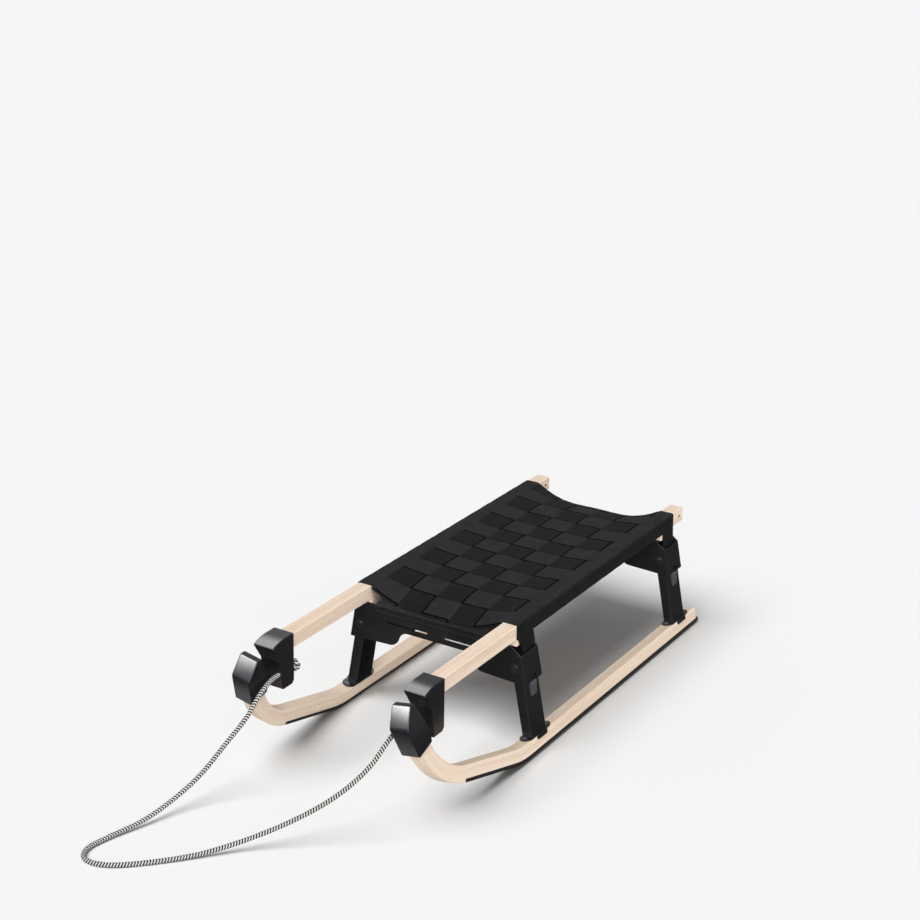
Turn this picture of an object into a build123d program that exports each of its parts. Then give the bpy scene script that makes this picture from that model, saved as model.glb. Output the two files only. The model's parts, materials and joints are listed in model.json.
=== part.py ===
"""Folding wooden sled: two beech rails with a woven strap seat, steel crossbars,
and two splayed runners on hinged steel legs that swing in flat under the seat.

Millimetres. +X points to the nose, +Y to the sled's left, +Z up. The origin is on the floor,
at the middle of the sled's length and width. Places at the front are setbacks from the nose,
places at the back are set off from the tail, and heights hang from the rails' top.
"""
import os
from math import cos, radians, sin, tan

from build123d import *

os.makedirs("parts", exist_ok=True)

# Overall length: from the tail of the glide strip to the front of the lower nose cap
LENGTH = 1013.0
TAIL_X = -LENGTH / 2
NOSE_X = LENGTH / 2

# Rails
RAIL_W = 28.0
RAIL_H = 28.0
RAIL_SPAN = 340.0
RAIL_TOP = 247.0
RAIL_REAR_OFF = 5.0
RAIL_SETBACK = 83.0
RAIL_ROUND = 2.0
RAIL_HOLE_R = 2.75
RAIL_HOLE_INSET = 16.0
RAIL_REAR_X = TAIL_X + RAIL_REAR_OFF
RAIL_FRONT_X = NOSE_X - RAIL_SETBACK
RAIL_Y = (RAIL_SPAN - RAIL_W) / 2
RAIL_BOTTOM = RAIL_TOP - RAIL_H
RAIL_MID_Z = RAIL_TOP - RAIL_H / 2

# Crossbars: pressed steel channels that carry the rails and the hinges
BLOCK_H = 13.0
PLATE_T = 2.5
CROSSBAR_D = 59.0
REAR_BAR_OFF = 101.0
BAR_LIP = 6.0
BAR_H = 36.0
BAR_BELLY_HALF = 60.0
LOBE_DROP = 26.0
LOBE_HALF = 102.0
SHOULDER_INSET = 20.0
SHOULDER_ROUND = 7.0
SHELL_OUT = 16.5
SHELL_UP = 22.0
SHELL_DOWN = 33.0
SHELL_ROUND = 2.0
SLOT_RISE = 12.0
SLOT_H = 4.0
SLOT_FROM = 18.0
SLOT_TO = 112.0
BEAD_H = 3.0
BEAD_T = 1.2
BEAD_DROP = 11.0
BEAD_INSET = 16.0
NOTCH_W = 22.0
NOTCH_H = 11.0
REAR_BAR_X = TAIL_X + REAR_BAR_OFF
BAR_WEB_TOP = RAIL_BOTTOM - BLOCK_H
BAR_TOP = BAR_WEB_TOP + BAR_LIP
BAR_BELLY = BAR_WEB_TOP - BAR_H
BAR_SHOULDER = RAIL_SPAN / 2 - SHOULDER_INSET
SLOT_Z = BAR_BELLY + SLOT_RISE

# Fold axis and splay of the runners
SPLAY = 10.5
PIVOT_INSET = 1.5
PIVOT_DROP = 42.0
PIVOT_R = 5.0
PIVOT_HEAD_R = 7.5
PIVOT_HEAD_T = 3.5
WASHER_R = 10.0
WASHER_T = 1.2
PIN_GAP = 0.15
BORE_GAP = 0.4
PIVOT_Y = RAIL_SPAN / 2 - PIVOT_INSET
PIVOT_Z = BAR_WEB_TOP - PIVOT_DROP
LOBE_BOTTOM = PIVOT_Z - LOBE_DROP

# Derived values of the leg frame: out is away from the sled's middle, up is along the leg
RUNNER_INNER = -10.6
SIN_S = sin(radians(SPLAY))
COS_S = cos(radians(SPLAY))
REACH = (PIVOT_Z + RUNNER_INNER * SIN_S) / COS_S

# Runners: wood with a glide strip let into its underside, a flat, a ramp and a bent nose
RUNNER_W = 26.0
RUNNER_T = 30.0
RUNNER_ROUND = 2.0
RUNNER_REAR_OFF = 8.0
STRIP_T = 6.5
STRIP_GAP = 0.1
RAMP_RADIUS = 200.0
RAMP_ANGLE = 15.6
RAMP_RUN = 149.0
NOSE_ANGLE = 84.0
NOSE_TIP_UP = 29.0
NOSE_SETBACK = 19.3
STRIP_END_ANGLE = 18.0
RUNNER_OUTER = RUNNER_INNER + RUNNER_W
RUNNER_REAR_X = TAIL_X + RUNNER_REAR_OFF
FOOT_LEVEL = RUNNER_T - REACH
RAMP_COS = cos(radians(RAMP_ANGLE))
RAMP_SIN = sin(radians(RAMP_ANGLE))
RAMP_RISE = RAMP_RADIUS * (1 - RAMP_COS) + RAMP_RUN * RAMP_SIN
NOSE_RADIUS = (REACH + NOSE_TIP_UP - RAMP_RISE) / (RAMP_COS - cos(radians(NOSE_ANGLE)))
NOSE_CENTRE_X = NOSE_X - NOSE_SETBACK - NOSE_RADIUS
RAMP_START_X = NOSE_CENTRE_X + (NOSE_RADIUS - RAMP_RADIUS) * RAMP_SIN - RAMP_RUN * RAMP_COS

# Legs: steel channels, open to the inside, with a foot screwed to the runner
LEG_HALF = 11.0
LEG_WALL = 2.5
LEG_ROUND = 3.5
LEG_SIDE_GAP = 2.0
FOOT_T = 2.5
FOOT_REACH = 18.0
FOOT_EDGE = 4.0
FOOT_TO_RAMP = 0.26
FOOT_TAB_D = 9.0
FOOT_TAB_L = 32.0
FOOT_TAB_ROUND = 2.0
LATCH_W = 20.0
LATCH_TOP = 34.5
LATCH_L = 27.0
LATCH_OUT = 4.5
LATCH_EDGE = 1.0
LATCH_LEAD = 4.0
FRONT_BAR_X = RAMP_START_X - FOOT_TO_RAMP - FOOT_REACH + LEG_SIDE_GAP + PLATE_T

# Nose caps
CAP_WALL = 3.0
CAP_GAP = 0.2
CAP_ROUND = 2.0
CAP_RISE = 5.5
UPPER_INNER_OFF = 21.0
UPPER_OUTER_OFF = 22.0
UPPER_SETBACK = 116.0
UPPER_DROP = 7.0
UPPER_LEAN = 3.0
UPPER_CHAMFER = 6.0
UPPER_FOOT_L = 35.0
UPPER_NECK_L = 41.5
UPPER_NECK_DROP = 40.0
UPPER_LIP_L = 60.0
UPPER_LIP_DROP = 9.0
UPPER_CROWN_L = 24.0
LOWER_WALL = 6.0
LOWER_CREASE_ROUND = 9.0
LOWER_REAR = 59.0
LOWER_HEEL_UP = 18.0
LOWER_HEEL_DROP = 3.0
LOWER_TOP_UP = 77.0
LOWER_TOP_REAR = 30.0
LOWER_TOP_FRONT = 18.0
LOWER_CREASE_UP = 41.0
LOWER_TOE = 20.0
LOWER_TOE_DROP = 15.0
NOSE_PIN_R = 3.0
NOSE_PIN_REAR_SETBACK = 108.0
NOSE_PIN_FRONT_SETBACK = 41.0
UPPER_INNER_Y = RAIL_Y - UPPER_INNER_OFF
UPPER_OUTER_Y = RAIL_Y + UPPER_OUTER_OFF
UPPER_REAR_X = NOSE_X - UPPER_SETBACK
UPPER_TOP = RAIL_TOP + CAP_RISE
UPPER_BOTTOM = PIVOT_Z - UPPER_DROP
NOSE_PIN_REAR_X = NOSE_X - NOSE_PIN_REAR_SETBACK
NOSE_PIN_FRONT_X = NOSE_X - NOSE_PIN_FRONT_SETBACK

# Seat webbing
SEAT_REAR_OFF = 50.0
SEAT_FRONT_INSET = 1.0
WEB_T = 2.5
WEB_GAP = 0.3
SEAT_END_SAG = 29.0
SEAT_MID_SAG = 6.0
SEAT_DIP_L = 110.0
SEAT_KNEE_L = 50.0
SEAT_KNEE_SAG = 13.5
SEAT_FLAT = 50.0
HEM_DROP = 1.0
TAB_W = 44.0
TAB_INSET = 6.0
TAB_DROP = 35.0
SEAT_REAR_X = TAIL_X + SEAT_REAR_OFF
SEAT_FRONT_X = FRONT_BAR_X - SEAT_FRONT_INSET
TAB_BOTTOM = RAIL_BOTTOM - TAB_DROP

# Tow rope and its knots
ROPE_D = 8.0
ROPE_HOLE_R = 4.8
ROPE_INSET = 14.0
ROPE_RISE = 22.0
ROPE_LEAD = 332.0
ROPE_SWING = 252.0
ROPE_NECK = 48.0
ROPE_LIFT = 0.1
KNOT_R = 9.0
KNOT_L = 17.0
KNOT_FACE_R = 5.5
KNOT_END_R = 4.0
KNOT_BEVEL = 4.0
ROPE_Y = RAIL_Y - ROPE_INSET
ROPE_Z = PIVOT_Z + ROPE_RISE
ROPE_FLOOR = ROPE_D / 2 + ROPE_LIFT
KNOT_X = UPPER_REAR_X + UPPER_LEAN * (UPPER_TOP - ROPE_Z - KNOT_R) / (UPPER_TOP - UPPER_BOTTOM)


def leg_plane(out):
    """Side plane of the left runner at a distance out from the fold axis: X forward, Y up the leg."""
    origin = (0, PIVOT_Y + out * COS_S, PIVOT_Z + out * SIN_S)
    return Plane(origin=origin, x_dir=(1, 0, 0), z_dir=(0, -COS_S, -SIN_S))


def leg_point(out, up):
    """Point (y, z) in the sled's frame of a point in the left leg's frame."""
    return (PIVOT_Y + out * COS_S - up * SIN_S, PIVOT_Z + out * SIN_S + up * COS_S)


def leg_out(place):
    """How far out a place is in the left leg's frame."""
    return (place.Y - PIVOT_Y) * COS_S + (place.Z - PIVOT_Z) * SIN_S


def leg_up(place):
    """How far up a place is in the left leg's frame."""
    return (place.Z - PIVOT_Z) * COS_S - (place.Y - PIVOT_Y) * SIN_S


def cross_plane(x):
    """Plane across the sled at x, with sketch X along +Y and sketch Y along +Z."""
    return Plane(origin=(x, 0, 0), x_dir=(0, 1, 0), z_dir=(1, 0, 0))


def leg_cross_plane(x):
    """Plane across the left leg at x, on the fold axis, with sketch X out and sketch Y up the leg."""
    return Plane(origin=(x, PIVOT_Y, PIVOT_Z), x_dir=(0, COS_S, SIN_S), z_dir=(1, 0, 0))


def runner_line(depth, end_angle, rear_x):
    """Corners of the runner's line, at a depth above its lowest face."""
    ramp_centre = (RAMP_START_X, RAMP_RADIUS - REACH)
    nose_centre = (NOSE_CENTRE_X, RAMP_RISE - REACH + NOSE_RADIUS * RAMP_COS)

    def on_arc(centre, radius, degrees):
        return (centre[0] + radius * sin(radians(degrees)), centre[1] - radius * cos(radians(degrees)))

    ramp_r = RAMP_RADIUS - depth
    nose_r = NOSE_RADIUS - depth
    return {
        "rear": (rear_x, depth - REACH),
        "flat": (RAMP_START_X, depth - REACH),
        "ramp_mid": on_arc(ramp_centre, ramp_r, RAMP_ANGLE / 2),
        "ramp": on_arc(ramp_centre, ramp_r, RAMP_ANGLE),
        "nose": on_arc(nose_centre, nose_r, RAMP_ANGLE),
        "bend_mid": on_arc(nose_centre, nose_r, (RAMP_ANGLE + end_angle) / 2),
        "tip": on_arc(nose_centre, nose_r, end_angle),
    }


def draw_line(line):
    """Draws a runner line in the current BuildLine: flat, ramp and nose bend."""
    Line(line["rear"], line["flat"])
    ThreePointArc(line["flat"], line["ramp_mid"], line["ramp"])
    Line(line["ramp"], line["nose"])
    ThreePointArc(line["nose"], line["bend_mid"], line["tip"])


# Each entry: name of a left piece, its part. The right one is its mirror image.
handed = []

# Rail
with BuildPart() as rail:
    with BuildSketch(cross_plane(RAIL_REAR_X)):
        with Locations((RAIL_Y, RAIL_MID_Z)):
            Rectangle(RAIL_W, RAIL_H)
    extrude(amount=RAIL_FRONT_X - RAIL_REAR_X)
    fillet(rail.edges().filter_by(Axis.X), RAIL_ROUND)
    chamfer(rail.faces().sort_by(Axis.X)[0].edges(), RAIL_ROUND / 2)
    with BuildSketch(Plane.XZ.offset(-RAIL_Y)):
        with Locations((RAIL_REAR_X + RAIL_HOLE_INSET, RAIL_MID_Z)):
            Circle(RAIL_HOLE_R)
    extrude(amount=RAIL_W, both=True, mode=Mode.SUBTRACT)
handed.append(("rail", rail.part))

# Spacer blocks between rail and crossbar, and the hinge pins, one of each at either crossbar
for place, bar_x in (("front", FRONT_BAR_X), ("rear", REAR_BAR_X)):
    with BuildPart() as block:
        with BuildSketch(cross_plane(bar_x - CROSSBAR_D + PLATE_T)):
            with Locations((RAIL_Y, (BAR_WEB_TOP + RAIL_BOTTOM) / 2)):
                Rectangle(RAIL_W, RAIL_BOTTOM - BAR_WEB_TOP)
        extrude(amount=CROSSBAR_D - 2 * PLATE_T)
        fillet(block.edges().filter_by(Axis.Z), RAIL_ROUND)
    handed.append((f"spacer_block_{place}", block.part))

    with BuildPart() as pin:
        with BuildSketch(leg_cross_plane(bar_x - CROSSBAR_D)):
            Circle(PIVOT_R)
        extrude(amount=CROSSBAR_D)
        for face_x, outwards in ((bar_x, 1), (bar_x - CROSSBAR_D, -1)):
            with BuildSketch(leg_cross_plane(face_x)):
                Circle(WASHER_R)
            extrude(amount=outwards * WASHER_T)
            with BuildSketch(leg_cross_plane(face_x + outwards * WASHER_T)):
                Circle(PIVOT_HEAD_R)
            extrude(amount=outwards * PIVOT_HEAD_T, taper=20)
    handed.append((f"pivot_pin_{place}", pin.part))

# Crossbars: front and rear plates, web between them, and a shell round the top of each leg
shell_top = leg_point(SHELL_OUT, SHELL_UP)
shell_foot = leg_point(SHELL_OUT, -SHELL_DOWN)
shell_inner_top = leg_point(SHELL_OUT - PLATE_T, SHELL_UP)
shell_inner_foot = leg_point(SHELL_OUT - PLATE_T, -SHELL_DOWN)
swell_mid = ((LOBE_HALF + BAR_BELLY_HALF) / 2, (LOBE_BOTTOM + BAR_BELLY) / 2)
for place, bar_x in (("front", FRONT_BAR_X), ("rear", REAR_BAR_X)):
    with BuildPart() as crossbar:
        for plate_x in (bar_x - PLATE_T, bar_x - CROSSBAR_D):
            with BuildSketch(cross_plane(plate_x)) as plate:
                with BuildLine():
                    Polyline(
                        (0, BAR_BELLY),
                        (0, BAR_TOP),
                        (BAR_SHOULDER, BAR_TOP),
                        shell_top,
                        shell_foot,
                        (LOBE_HALF, LOBE_BOTTOM),
                    )
                    TangentArc((LOBE_HALF, LOBE_BOTTOM), swell_mid, tangent=(-1, 0))
                    TangentArc((BAR_BELLY_HALF, BAR_BELLY), swell_mid, tangent=(1, 0))
                    Line((BAR_BELLY_HALF, BAR_BELLY), (0, BAR_BELLY))
                make_face()
                mirror(about=Plane.YZ)
                shoulders = [v for v in plate.vertices() if abs(v.Z - BAR_TOP) < 1 and abs(v.Y) > 1]
                fillet(shoulders, SHOULDER_ROUND)
                with Locations((PIVOT_Y, PIVOT_Z), (-PIVOT_Y, PIVOT_Z)):
                    Circle(PIVOT_R + PIN_GAP, mode=Mode.SUBTRACT)
                slot_mid = (SLOT_FROM + SLOT_TO) / 2
                with Locations((slot_mid, SLOT_Z), (-slot_mid, SLOT_Z)):
                    SlotOverall(SLOT_TO - SLOT_FROM, SLOT_H, mode=Mode.SUBTRACT)
            extrude(amount=PLATE_T)
        with BuildSketch(cross_plane(bar_x - CROSSBAR_D + PLATE_T)):
            with Locations((0, BAR_WEB_TOP - PLATE_T / 2)):
                Rectangle(2 * BAR_SHOULDER, PLATE_T)
            with BuildLine():
                Polyline(shell_top, shell_foot, shell_inner_foot, shell_inner_top, close=True)
            make_face()
            with BuildLine():
                Polyline(
                    (-shell_top[0], shell_top[1]),
                    (-shell_foot[0], shell_foot[1]),
                    (-shell_inner_foot[0], shell_inner_foot[1]),
                    (-shell_inner_top[0], shell_inner_top[1]),
                    close=True,
                )
            make_face()
        extrude(amount=CROSSBAR_D - 2 * PLATE_T)
        # Rounded outer corners of the shells
        corners = [
            e for e in crossbar.edges()
            if e.length > SHELL_DOWN and min(abs(v.Y) for v in e.vertices()) > PIVOT_Y
            and abs(abs(e.center().Y) - (shell_top[0] + shell_foot[0]) / 2) < 0.1
            and min(abs(e.center().X - bar_x), abs(e.center().X - bar_x + CROSSBAR_D)) < 0.1
        ]
        fillet(corners, SHELL_ROUND)
        # Pressed beads along the top edge and below it, on both plates
        for face_x, outwards in ((bar_x, 1), (bar_x - CROSSBAR_D, -1)):
            for bead_z in (BAR_TOP - BEAD_H / 2, BAR_TOP - BEAD_H / 2 - BEAD_DROP):
                with BuildSketch(cross_plane(face_x)):
                    with Locations((0, bead_z)):
                        SlotOverall(2 * (BAR_SHOULDER - BEAD_INSET), BEAD_H)
                extrude(amount=outwards * BEAD_T, taper=25)
        # Notch for each latch in the shell's lower edge
        notch_x = bar_x - CROSSBAR_D / 2
        for side in (1, -1):
            notch_y, notch_z = leg_point(SHELL_OUT - PLATE_T / 2, -SHELL_DOWN)
            with Locations(Location((notch_x, side * notch_y, notch_z), (side * SPLAY, 0, 0))):
                Box(NOTCH_W, 4 * PLATE_T, 2 * NOTCH_H, mode=Mode.SUBTRACT)
    crossbar.part.label = f"crossbar_{place}"
    export_step(crossbar.part, f"parts/crossbar_{place}.step")

# Runner wood, rebated underneath for the strip
top_line = runner_line(RUNNER_T, NOSE_ANGLE, RUNNER_REAR_X)
sole_line = runner_line(0, NOSE_ANGLE, RUNNER_REAR_X)
rebate_line = runner_line(STRIP_T, STRIP_END_ANGLE, TAIL_X)
rebate_sole = runner_line(0, STRIP_END_ANGLE, TAIL_X)
strip_top = runner_line(STRIP_T - STRIP_GAP, STRIP_END_ANGLE, TAIL_X)
top_corners = [top_line[k] for k in ("rear", "flat", "ramp", "nose", "tip")]


def on_top(vertex):
    """Which corner of the runner's top line a vertex is at, or -1."""
    for index, (x, up) in enumerate(top_corners):
        if abs(vertex.X - x) < 0.01 and abs(leg_up(vertex) - up) < 0.01:
            return index
    return -1


with BuildPart() as runner:
    with BuildSketch(leg_plane(RUNNER_OUTER)):
        with BuildLine():
            draw_line(sole_line)
            Line(sole_line["tip"], top_line["tip"])
            draw_line(top_line)
            Line(top_line["rear"], sole_line["rear"])
        make_face()
        with BuildLine():
            draw_line(rebate_sole)
            Line(rebate_sole["tip"], rebate_line["tip"])
            draw_line(rebate_line)
            Line(rebate_line["rear"], rebate_sole["rear"])
        make_face(mode=Mode.SUBTRACT)
    extrude(amount=RUNNER_W)
    top_edges = []
    for edge in runner.edges():
        ends = sorted(on_top(v) for v in edge.vertices())
        if len(ends) == 2 and ends[0] >= 0 and ends[1] == ends[0] + 1:
            top_edges.append(edge)
    fillet(top_edges, RUNNER_ROUND)
    with BuildSketch(leg_cross_plane(NOSE_PIN_REAR_X)):
        Circle(NOSE_PIN_R + BORE_GAP)
    extrude(amount=NOSE_PIN_FRONT_X - NOSE_PIN_REAR_X + CAP_WALL, mode=Mode.SUBTRACT)
handed.append(("runner", runner.part))

# Glide strip
with BuildPart() as strip:
    with BuildSketch(leg_plane(RUNNER_OUTER)):
        with BuildLine():
            draw_line(rebate_sole)
            Line(rebate_sole["tip"], strip_top["tip"])
            draw_line(strip_top)
            Line(strip_top["rear"], rebate_sole["rear"])
        make_face()
    extrude(amount=RUNNER_W)
handed.append(("glide_strip", strip.part))

# Legs with their latches
for place, bar_x in (("front", FRONT_BAR_X), ("rear", REAR_BAR_X)):
    leg_front = bar_x - PLATE_T - LEG_SIDE_GAP
    leg_rear = bar_x - CROSSBAR_D + PLATE_T + LEG_SIDE_GAP
    leg_depth = leg_front - leg_rear
    foot_top = FOOT_LEVEL + FOOT_T
    hollow = LEG_HALF - LEG_WALL
    with BuildPart() as leg:
        with BuildSketch(leg_cross_plane(leg_rear)):
            with Locations((0, FOOT_LEVEL / 2)):
                Rectangle(2 * LEG_HALF, -FOOT_LEVEL)
            Circle(LEG_HALF)
        extrude(amount=leg_depth)
        long_edges = [
            e for e in leg.edges()
            if e.length > LEG_HALF * 4 and abs(leg_out(e.center()) - LEG_HALF) < 0.01
        ]
        fillet(long_edges, LEG_ROUND)
        with BuildSketch(leg_cross_plane(leg_rear + LEG_WALL)):
            with Locations(((hollow - 2 * LEG_HALF) / 2, foot_top / 2)):
                Rectangle(hollow + 2 * LEG_HALF, -foot_top)
            Circle(hollow)
        extrude(amount=leg_depth - 2 * LEG_WALL, mode=Mode.SUBTRACT)
        with BuildSketch(leg_cross_plane(leg_rear)):
            Circle(PIVOT_R + BORE_GAP)
        extrude(amount=leg_depth, mode=Mode.SUBTRACT)
        # Foot: a plate on the runner, with a round lobe ahead and a pointed tail
        foot_mid = (RUNNER_INNER + RUNNER_OUTER) / 2
        foot_plane = Plane(
            origin=(0, *leg_point(foot_mid, FOOT_LEVEL)),
            x_dir=(1, 0, 0),
            z_dir=(0, -SIN_S, COS_S),
        )
        with BuildSketch(foot_plane):
            with Locations(((leg_front + leg_rear) / 2, 0)):
                Rectangle(leg_depth + 2 * FOOT_EDGE, RUNNER_W)
            with Locations((leg_front + FOOT_REACH - RUNNER_W / 2, 0)):
                Circle(RUNNER_W / 2)
            with Locations((leg_rear, 0)):
                Ellipse(FOOT_REACH, RUNNER_W / 2)
        extrude(amount=FOOT_T)
        # Gussets that flare the leg into its foot, ahead and behind
        for wall_x, outwards in ((leg_front, 1), (leg_rear, -1)):
            with BuildSketch(leg_plane(LEG_HALF - LEG_ROUND)):
                with BuildLine():
                    Polyline(
                        (wall_x, foot_top),
                        (wall_x + outwards * FOOT_EDGE, foot_top),
                        (wall_x, foot_top + 2 * FOOT_EDGE),
                        close=True,
                    )
                make_face()
            extrude(amount=2 * (LEG_HALF - LEG_ROUND))
        # Side tab folded down over the runner's outer face
        with BuildSketch(leg_plane(RUNNER_OUTER + FOOT_T)):
            with Locations(((leg_front + leg_rear) / 2, foot_top - FOOT_TAB_D / 2)):
                RectangleRounded(FOOT_TAB_L, FOOT_TAB_D, FOOT_TAB_ROUND)
        extrude(amount=FOOT_T)
    handed.append((f"leg_{place}", leg.part))

    with BuildPart() as latch:
        with BuildSketch(leg_cross_plane((leg_front + leg_rear - LATCH_W) / 2)):
            with BuildLine():
                Polyline(
                    (LEG_HALF, -LATCH_TOP),
                    (LEG_HALF + LATCH_OUT - LATCH_EDGE, -LATCH_TOP),
                    (LEG_HALF + LATCH_OUT, -LATCH_TOP - LATCH_LEAD),
                    (LEG_HALF + LATCH_EDGE, -LATCH_TOP - LATCH_L),
                    (LEG_HALF, -LATCH_TOP - LATCH_L),
                    close=True,
                )
            make_face()
        extrude(amount=LATCH_W)
    handed.append((f"latch_{place}", latch.part))

# Upper nose cap: a hood on the rail's front end that hangs down to the nose hinge
crown = (UPPER_REAR_X + UPPER_CROWN_L, UPPER_TOP)
lip = (UPPER_REAR_X + UPPER_LIP_L, UPPER_TOP - UPPER_LIP_DROP)
with BuildPart() as upper:
    with BuildSketch(Plane.XZ.offset(-UPPER_OUTER_Y)):
        with BuildLine():
            Polyline(
                crown,
                (UPPER_REAR_X, UPPER_TOP),
                (UPPER_REAR_X + UPPER_LEAN, UPPER_BOTTOM + UPPER_CHAMFER),
                (UPPER_REAR_X + UPPER_LEAN + UPPER_CHAMFER, UPPER_BOTTOM),
                (UPPER_REAR_X + UPPER_FOOT_L, UPPER_BOTTOM),
                (UPPER_REAR_X + UPPER_NECK_L, UPPER_TOP - UPPER_NECK_DROP),
                lip,
            )
            TangentArc(crown, lip, tangent=(1, 0))
        make_face()
    extrude(amount=UPPER_OUTER_Y - UPPER_INNER_Y)
    rounded = [
        e for e in upper.edges()
        if not (abs(e.center().X - crown[0]) < 0.1 and abs(e.center().Z - crown[1]) < 0.1
                and e.length > UPPER_CROWN_L)
    ]
    fillet(rounded, CAP_ROUND)
    with BuildSketch(cross_plane(UPPER_REAR_X)):
        with Locations((RAIL_Y, RAIL_MID_Z)):
            RectangleRounded(RAIL_W + 2 * CAP_GAP, RAIL_H + 2 * CAP_GAP, RAIL_ROUND)
    extrude(amount=RAIL_FRONT_X - UPPER_REAR_X, mode=Mode.SUBTRACT)
    with BuildSketch(cross_plane(UPPER_REAR_X)):
        with Locations((ROPE_Y, ROPE_Z)):
            Circle(ROPE_HOLE_R)
    extrude(amount=UPPER_SETBACK, mode=Mode.SUBTRACT)
    with BuildSketch(leg_cross_plane(NOSE_PIN_REAR_X)):
        Circle(NOSE_PIN_R + PIN_GAP)
    extrude(amount=UPPER_SETBACK, mode=Mode.SUBTRACT)
handed.append(("nose_cap_upper", upper.part))

# Nose hinge pin
with BuildPart() as nose_pin:
    with BuildSketch(leg_cross_plane(NOSE_PIN_REAR_X)):
        Circle(NOSE_PIN_R)
    extrude(amount=NOSE_PIN_FRONT_X - NOSE_PIN_REAR_X)
handed.append(("nose_pin", nose_pin.part))

# Lower nose cap: a pointed shoe on the runner's upturned tip
pocket_turn = CAP_GAP / radians(NOSE_RADIUS)
pocket_top = runner_line(RUNNER_T + CAP_GAP, NOSE_ANGLE + pocket_turn, RUNNER_REAR_X)
pocket_sole = runner_line(-CAP_GAP, NOSE_ANGLE + pocket_turn, RUNNER_REAR_X)
with BuildPart() as lower:
    with BuildSketch(leg_plane(RUNNER_OUTER + LOWER_WALL)):
        with BuildLine():
            Polyline(
                (NOSE_X - LOWER_REAR, -LOWER_HEEL_DROP),
                (NOSE_X - LOWER_REAR, LOWER_HEEL_UP),
                (NOSE_X - LOWER_TOP_REAR, LOWER_TOP_UP),
                (NOSE_X - LOWER_TOP_FRONT, LOWER_TOP_UP),
                (NOSE_X, LOWER_CREASE_UP),
                (NOSE_X - LOWER_TOE, -LOWER_TOE_DROP),
                close=True,
            )
        make_face()
    extrude(amount=RUNNER_W + 2 * LOWER_WALL)
    crease = [
        e for e in lower.edges()
        if abs(e.center().X - NOSE_X) < 0.1 and abs(leg_up(e.center()) - LOWER_CREASE_UP) < 0.1
    ]
    fillet(crease, LOWER_CREASE_ROUND)
    flat_breaks = [
        e for e in lower.edges()
        if e.center().X > NOSE_X - LOWER_TOP_FRONT and abs(e.length - RUNNER_W - 2 * LOWER_WALL) < 0.1
        and abs(leg_up(e.center()) - LOWER_CREASE_UP) < LOWER_CREASE_ROUND
    ]
    fillet([e for e in lower.edges() if e not in flat_breaks], CAP_ROUND)
    with BuildSketch(leg_plane(RUNNER_OUTER + CAP_GAP)):
        with BuildLine():
            ThreePointArc(pocket_sole["nose"], pocket_sole["bend_mid"], pocket_sole["tip"])
            Line(pocket_sole["tip"], pocket_top["tip"])
            ThreePointArc(pocket_top["tip"], pocket_top["bend_mid"], pocket_top["nose"])
            Line(pocket_top["nose"], pocket_sole["nose"])
        make_face()
    extrude(amount=RUNNER_W + 2 * CAP_GAP, mode=Mode.SUBTRACT)
    with BuildSketch(leg_cross_plane(NOSE_PIN_REAR_X)):
        Circle(NOSE_PIN_R + BORE_GAP)
    extrude(amount=NOSE_PIN_FRONT_X - NOSE_PIN_REAR_X + CAP_WALL, mode=Mode.SUBTRACT)
handed.append(("nose_cap_lower", lower.part))

# Knot behind each upper cap, turned about the rope's line
with BuildPart() as knot:
    with BuildSketch(Plane(origin=(KNOT_X, ROPE_Y, ROPE_Z), x_dir=(1, 0, 0), z_dir=(0, -1, 0))):
        with BuildLine():
            Polyline(
                (-KNOT_L, 0),
                (-KNOT_L, KNOT_END_R),
                (KNOT_BEVEL - KNOT_L, KNOT_R),
                (-KNOT_BEVEL, KNOT_R),
                (0, KNOT_FACE_R),
                (0, 0),
                close=True,
            )
        make_face()
    revolve(axis=Axis((KNOT_X, ROPE_Y, ROPE_Z), (1, 0, 0)))
handed.append(("tow_knot", knot.part))

# Write each left piece and its mirror image on the right
for name, piece in handed:
    piece.label = f"{name}_left"
    export_step(piece, f"parts/{name}_left.step")
    with BuildPart() as twin:
        mirror(piece, about=Plane.XZ)
    twin.part.label = f"{name}_right"
    export_step(twin.part, f"parts/{name}_right.step")

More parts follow.
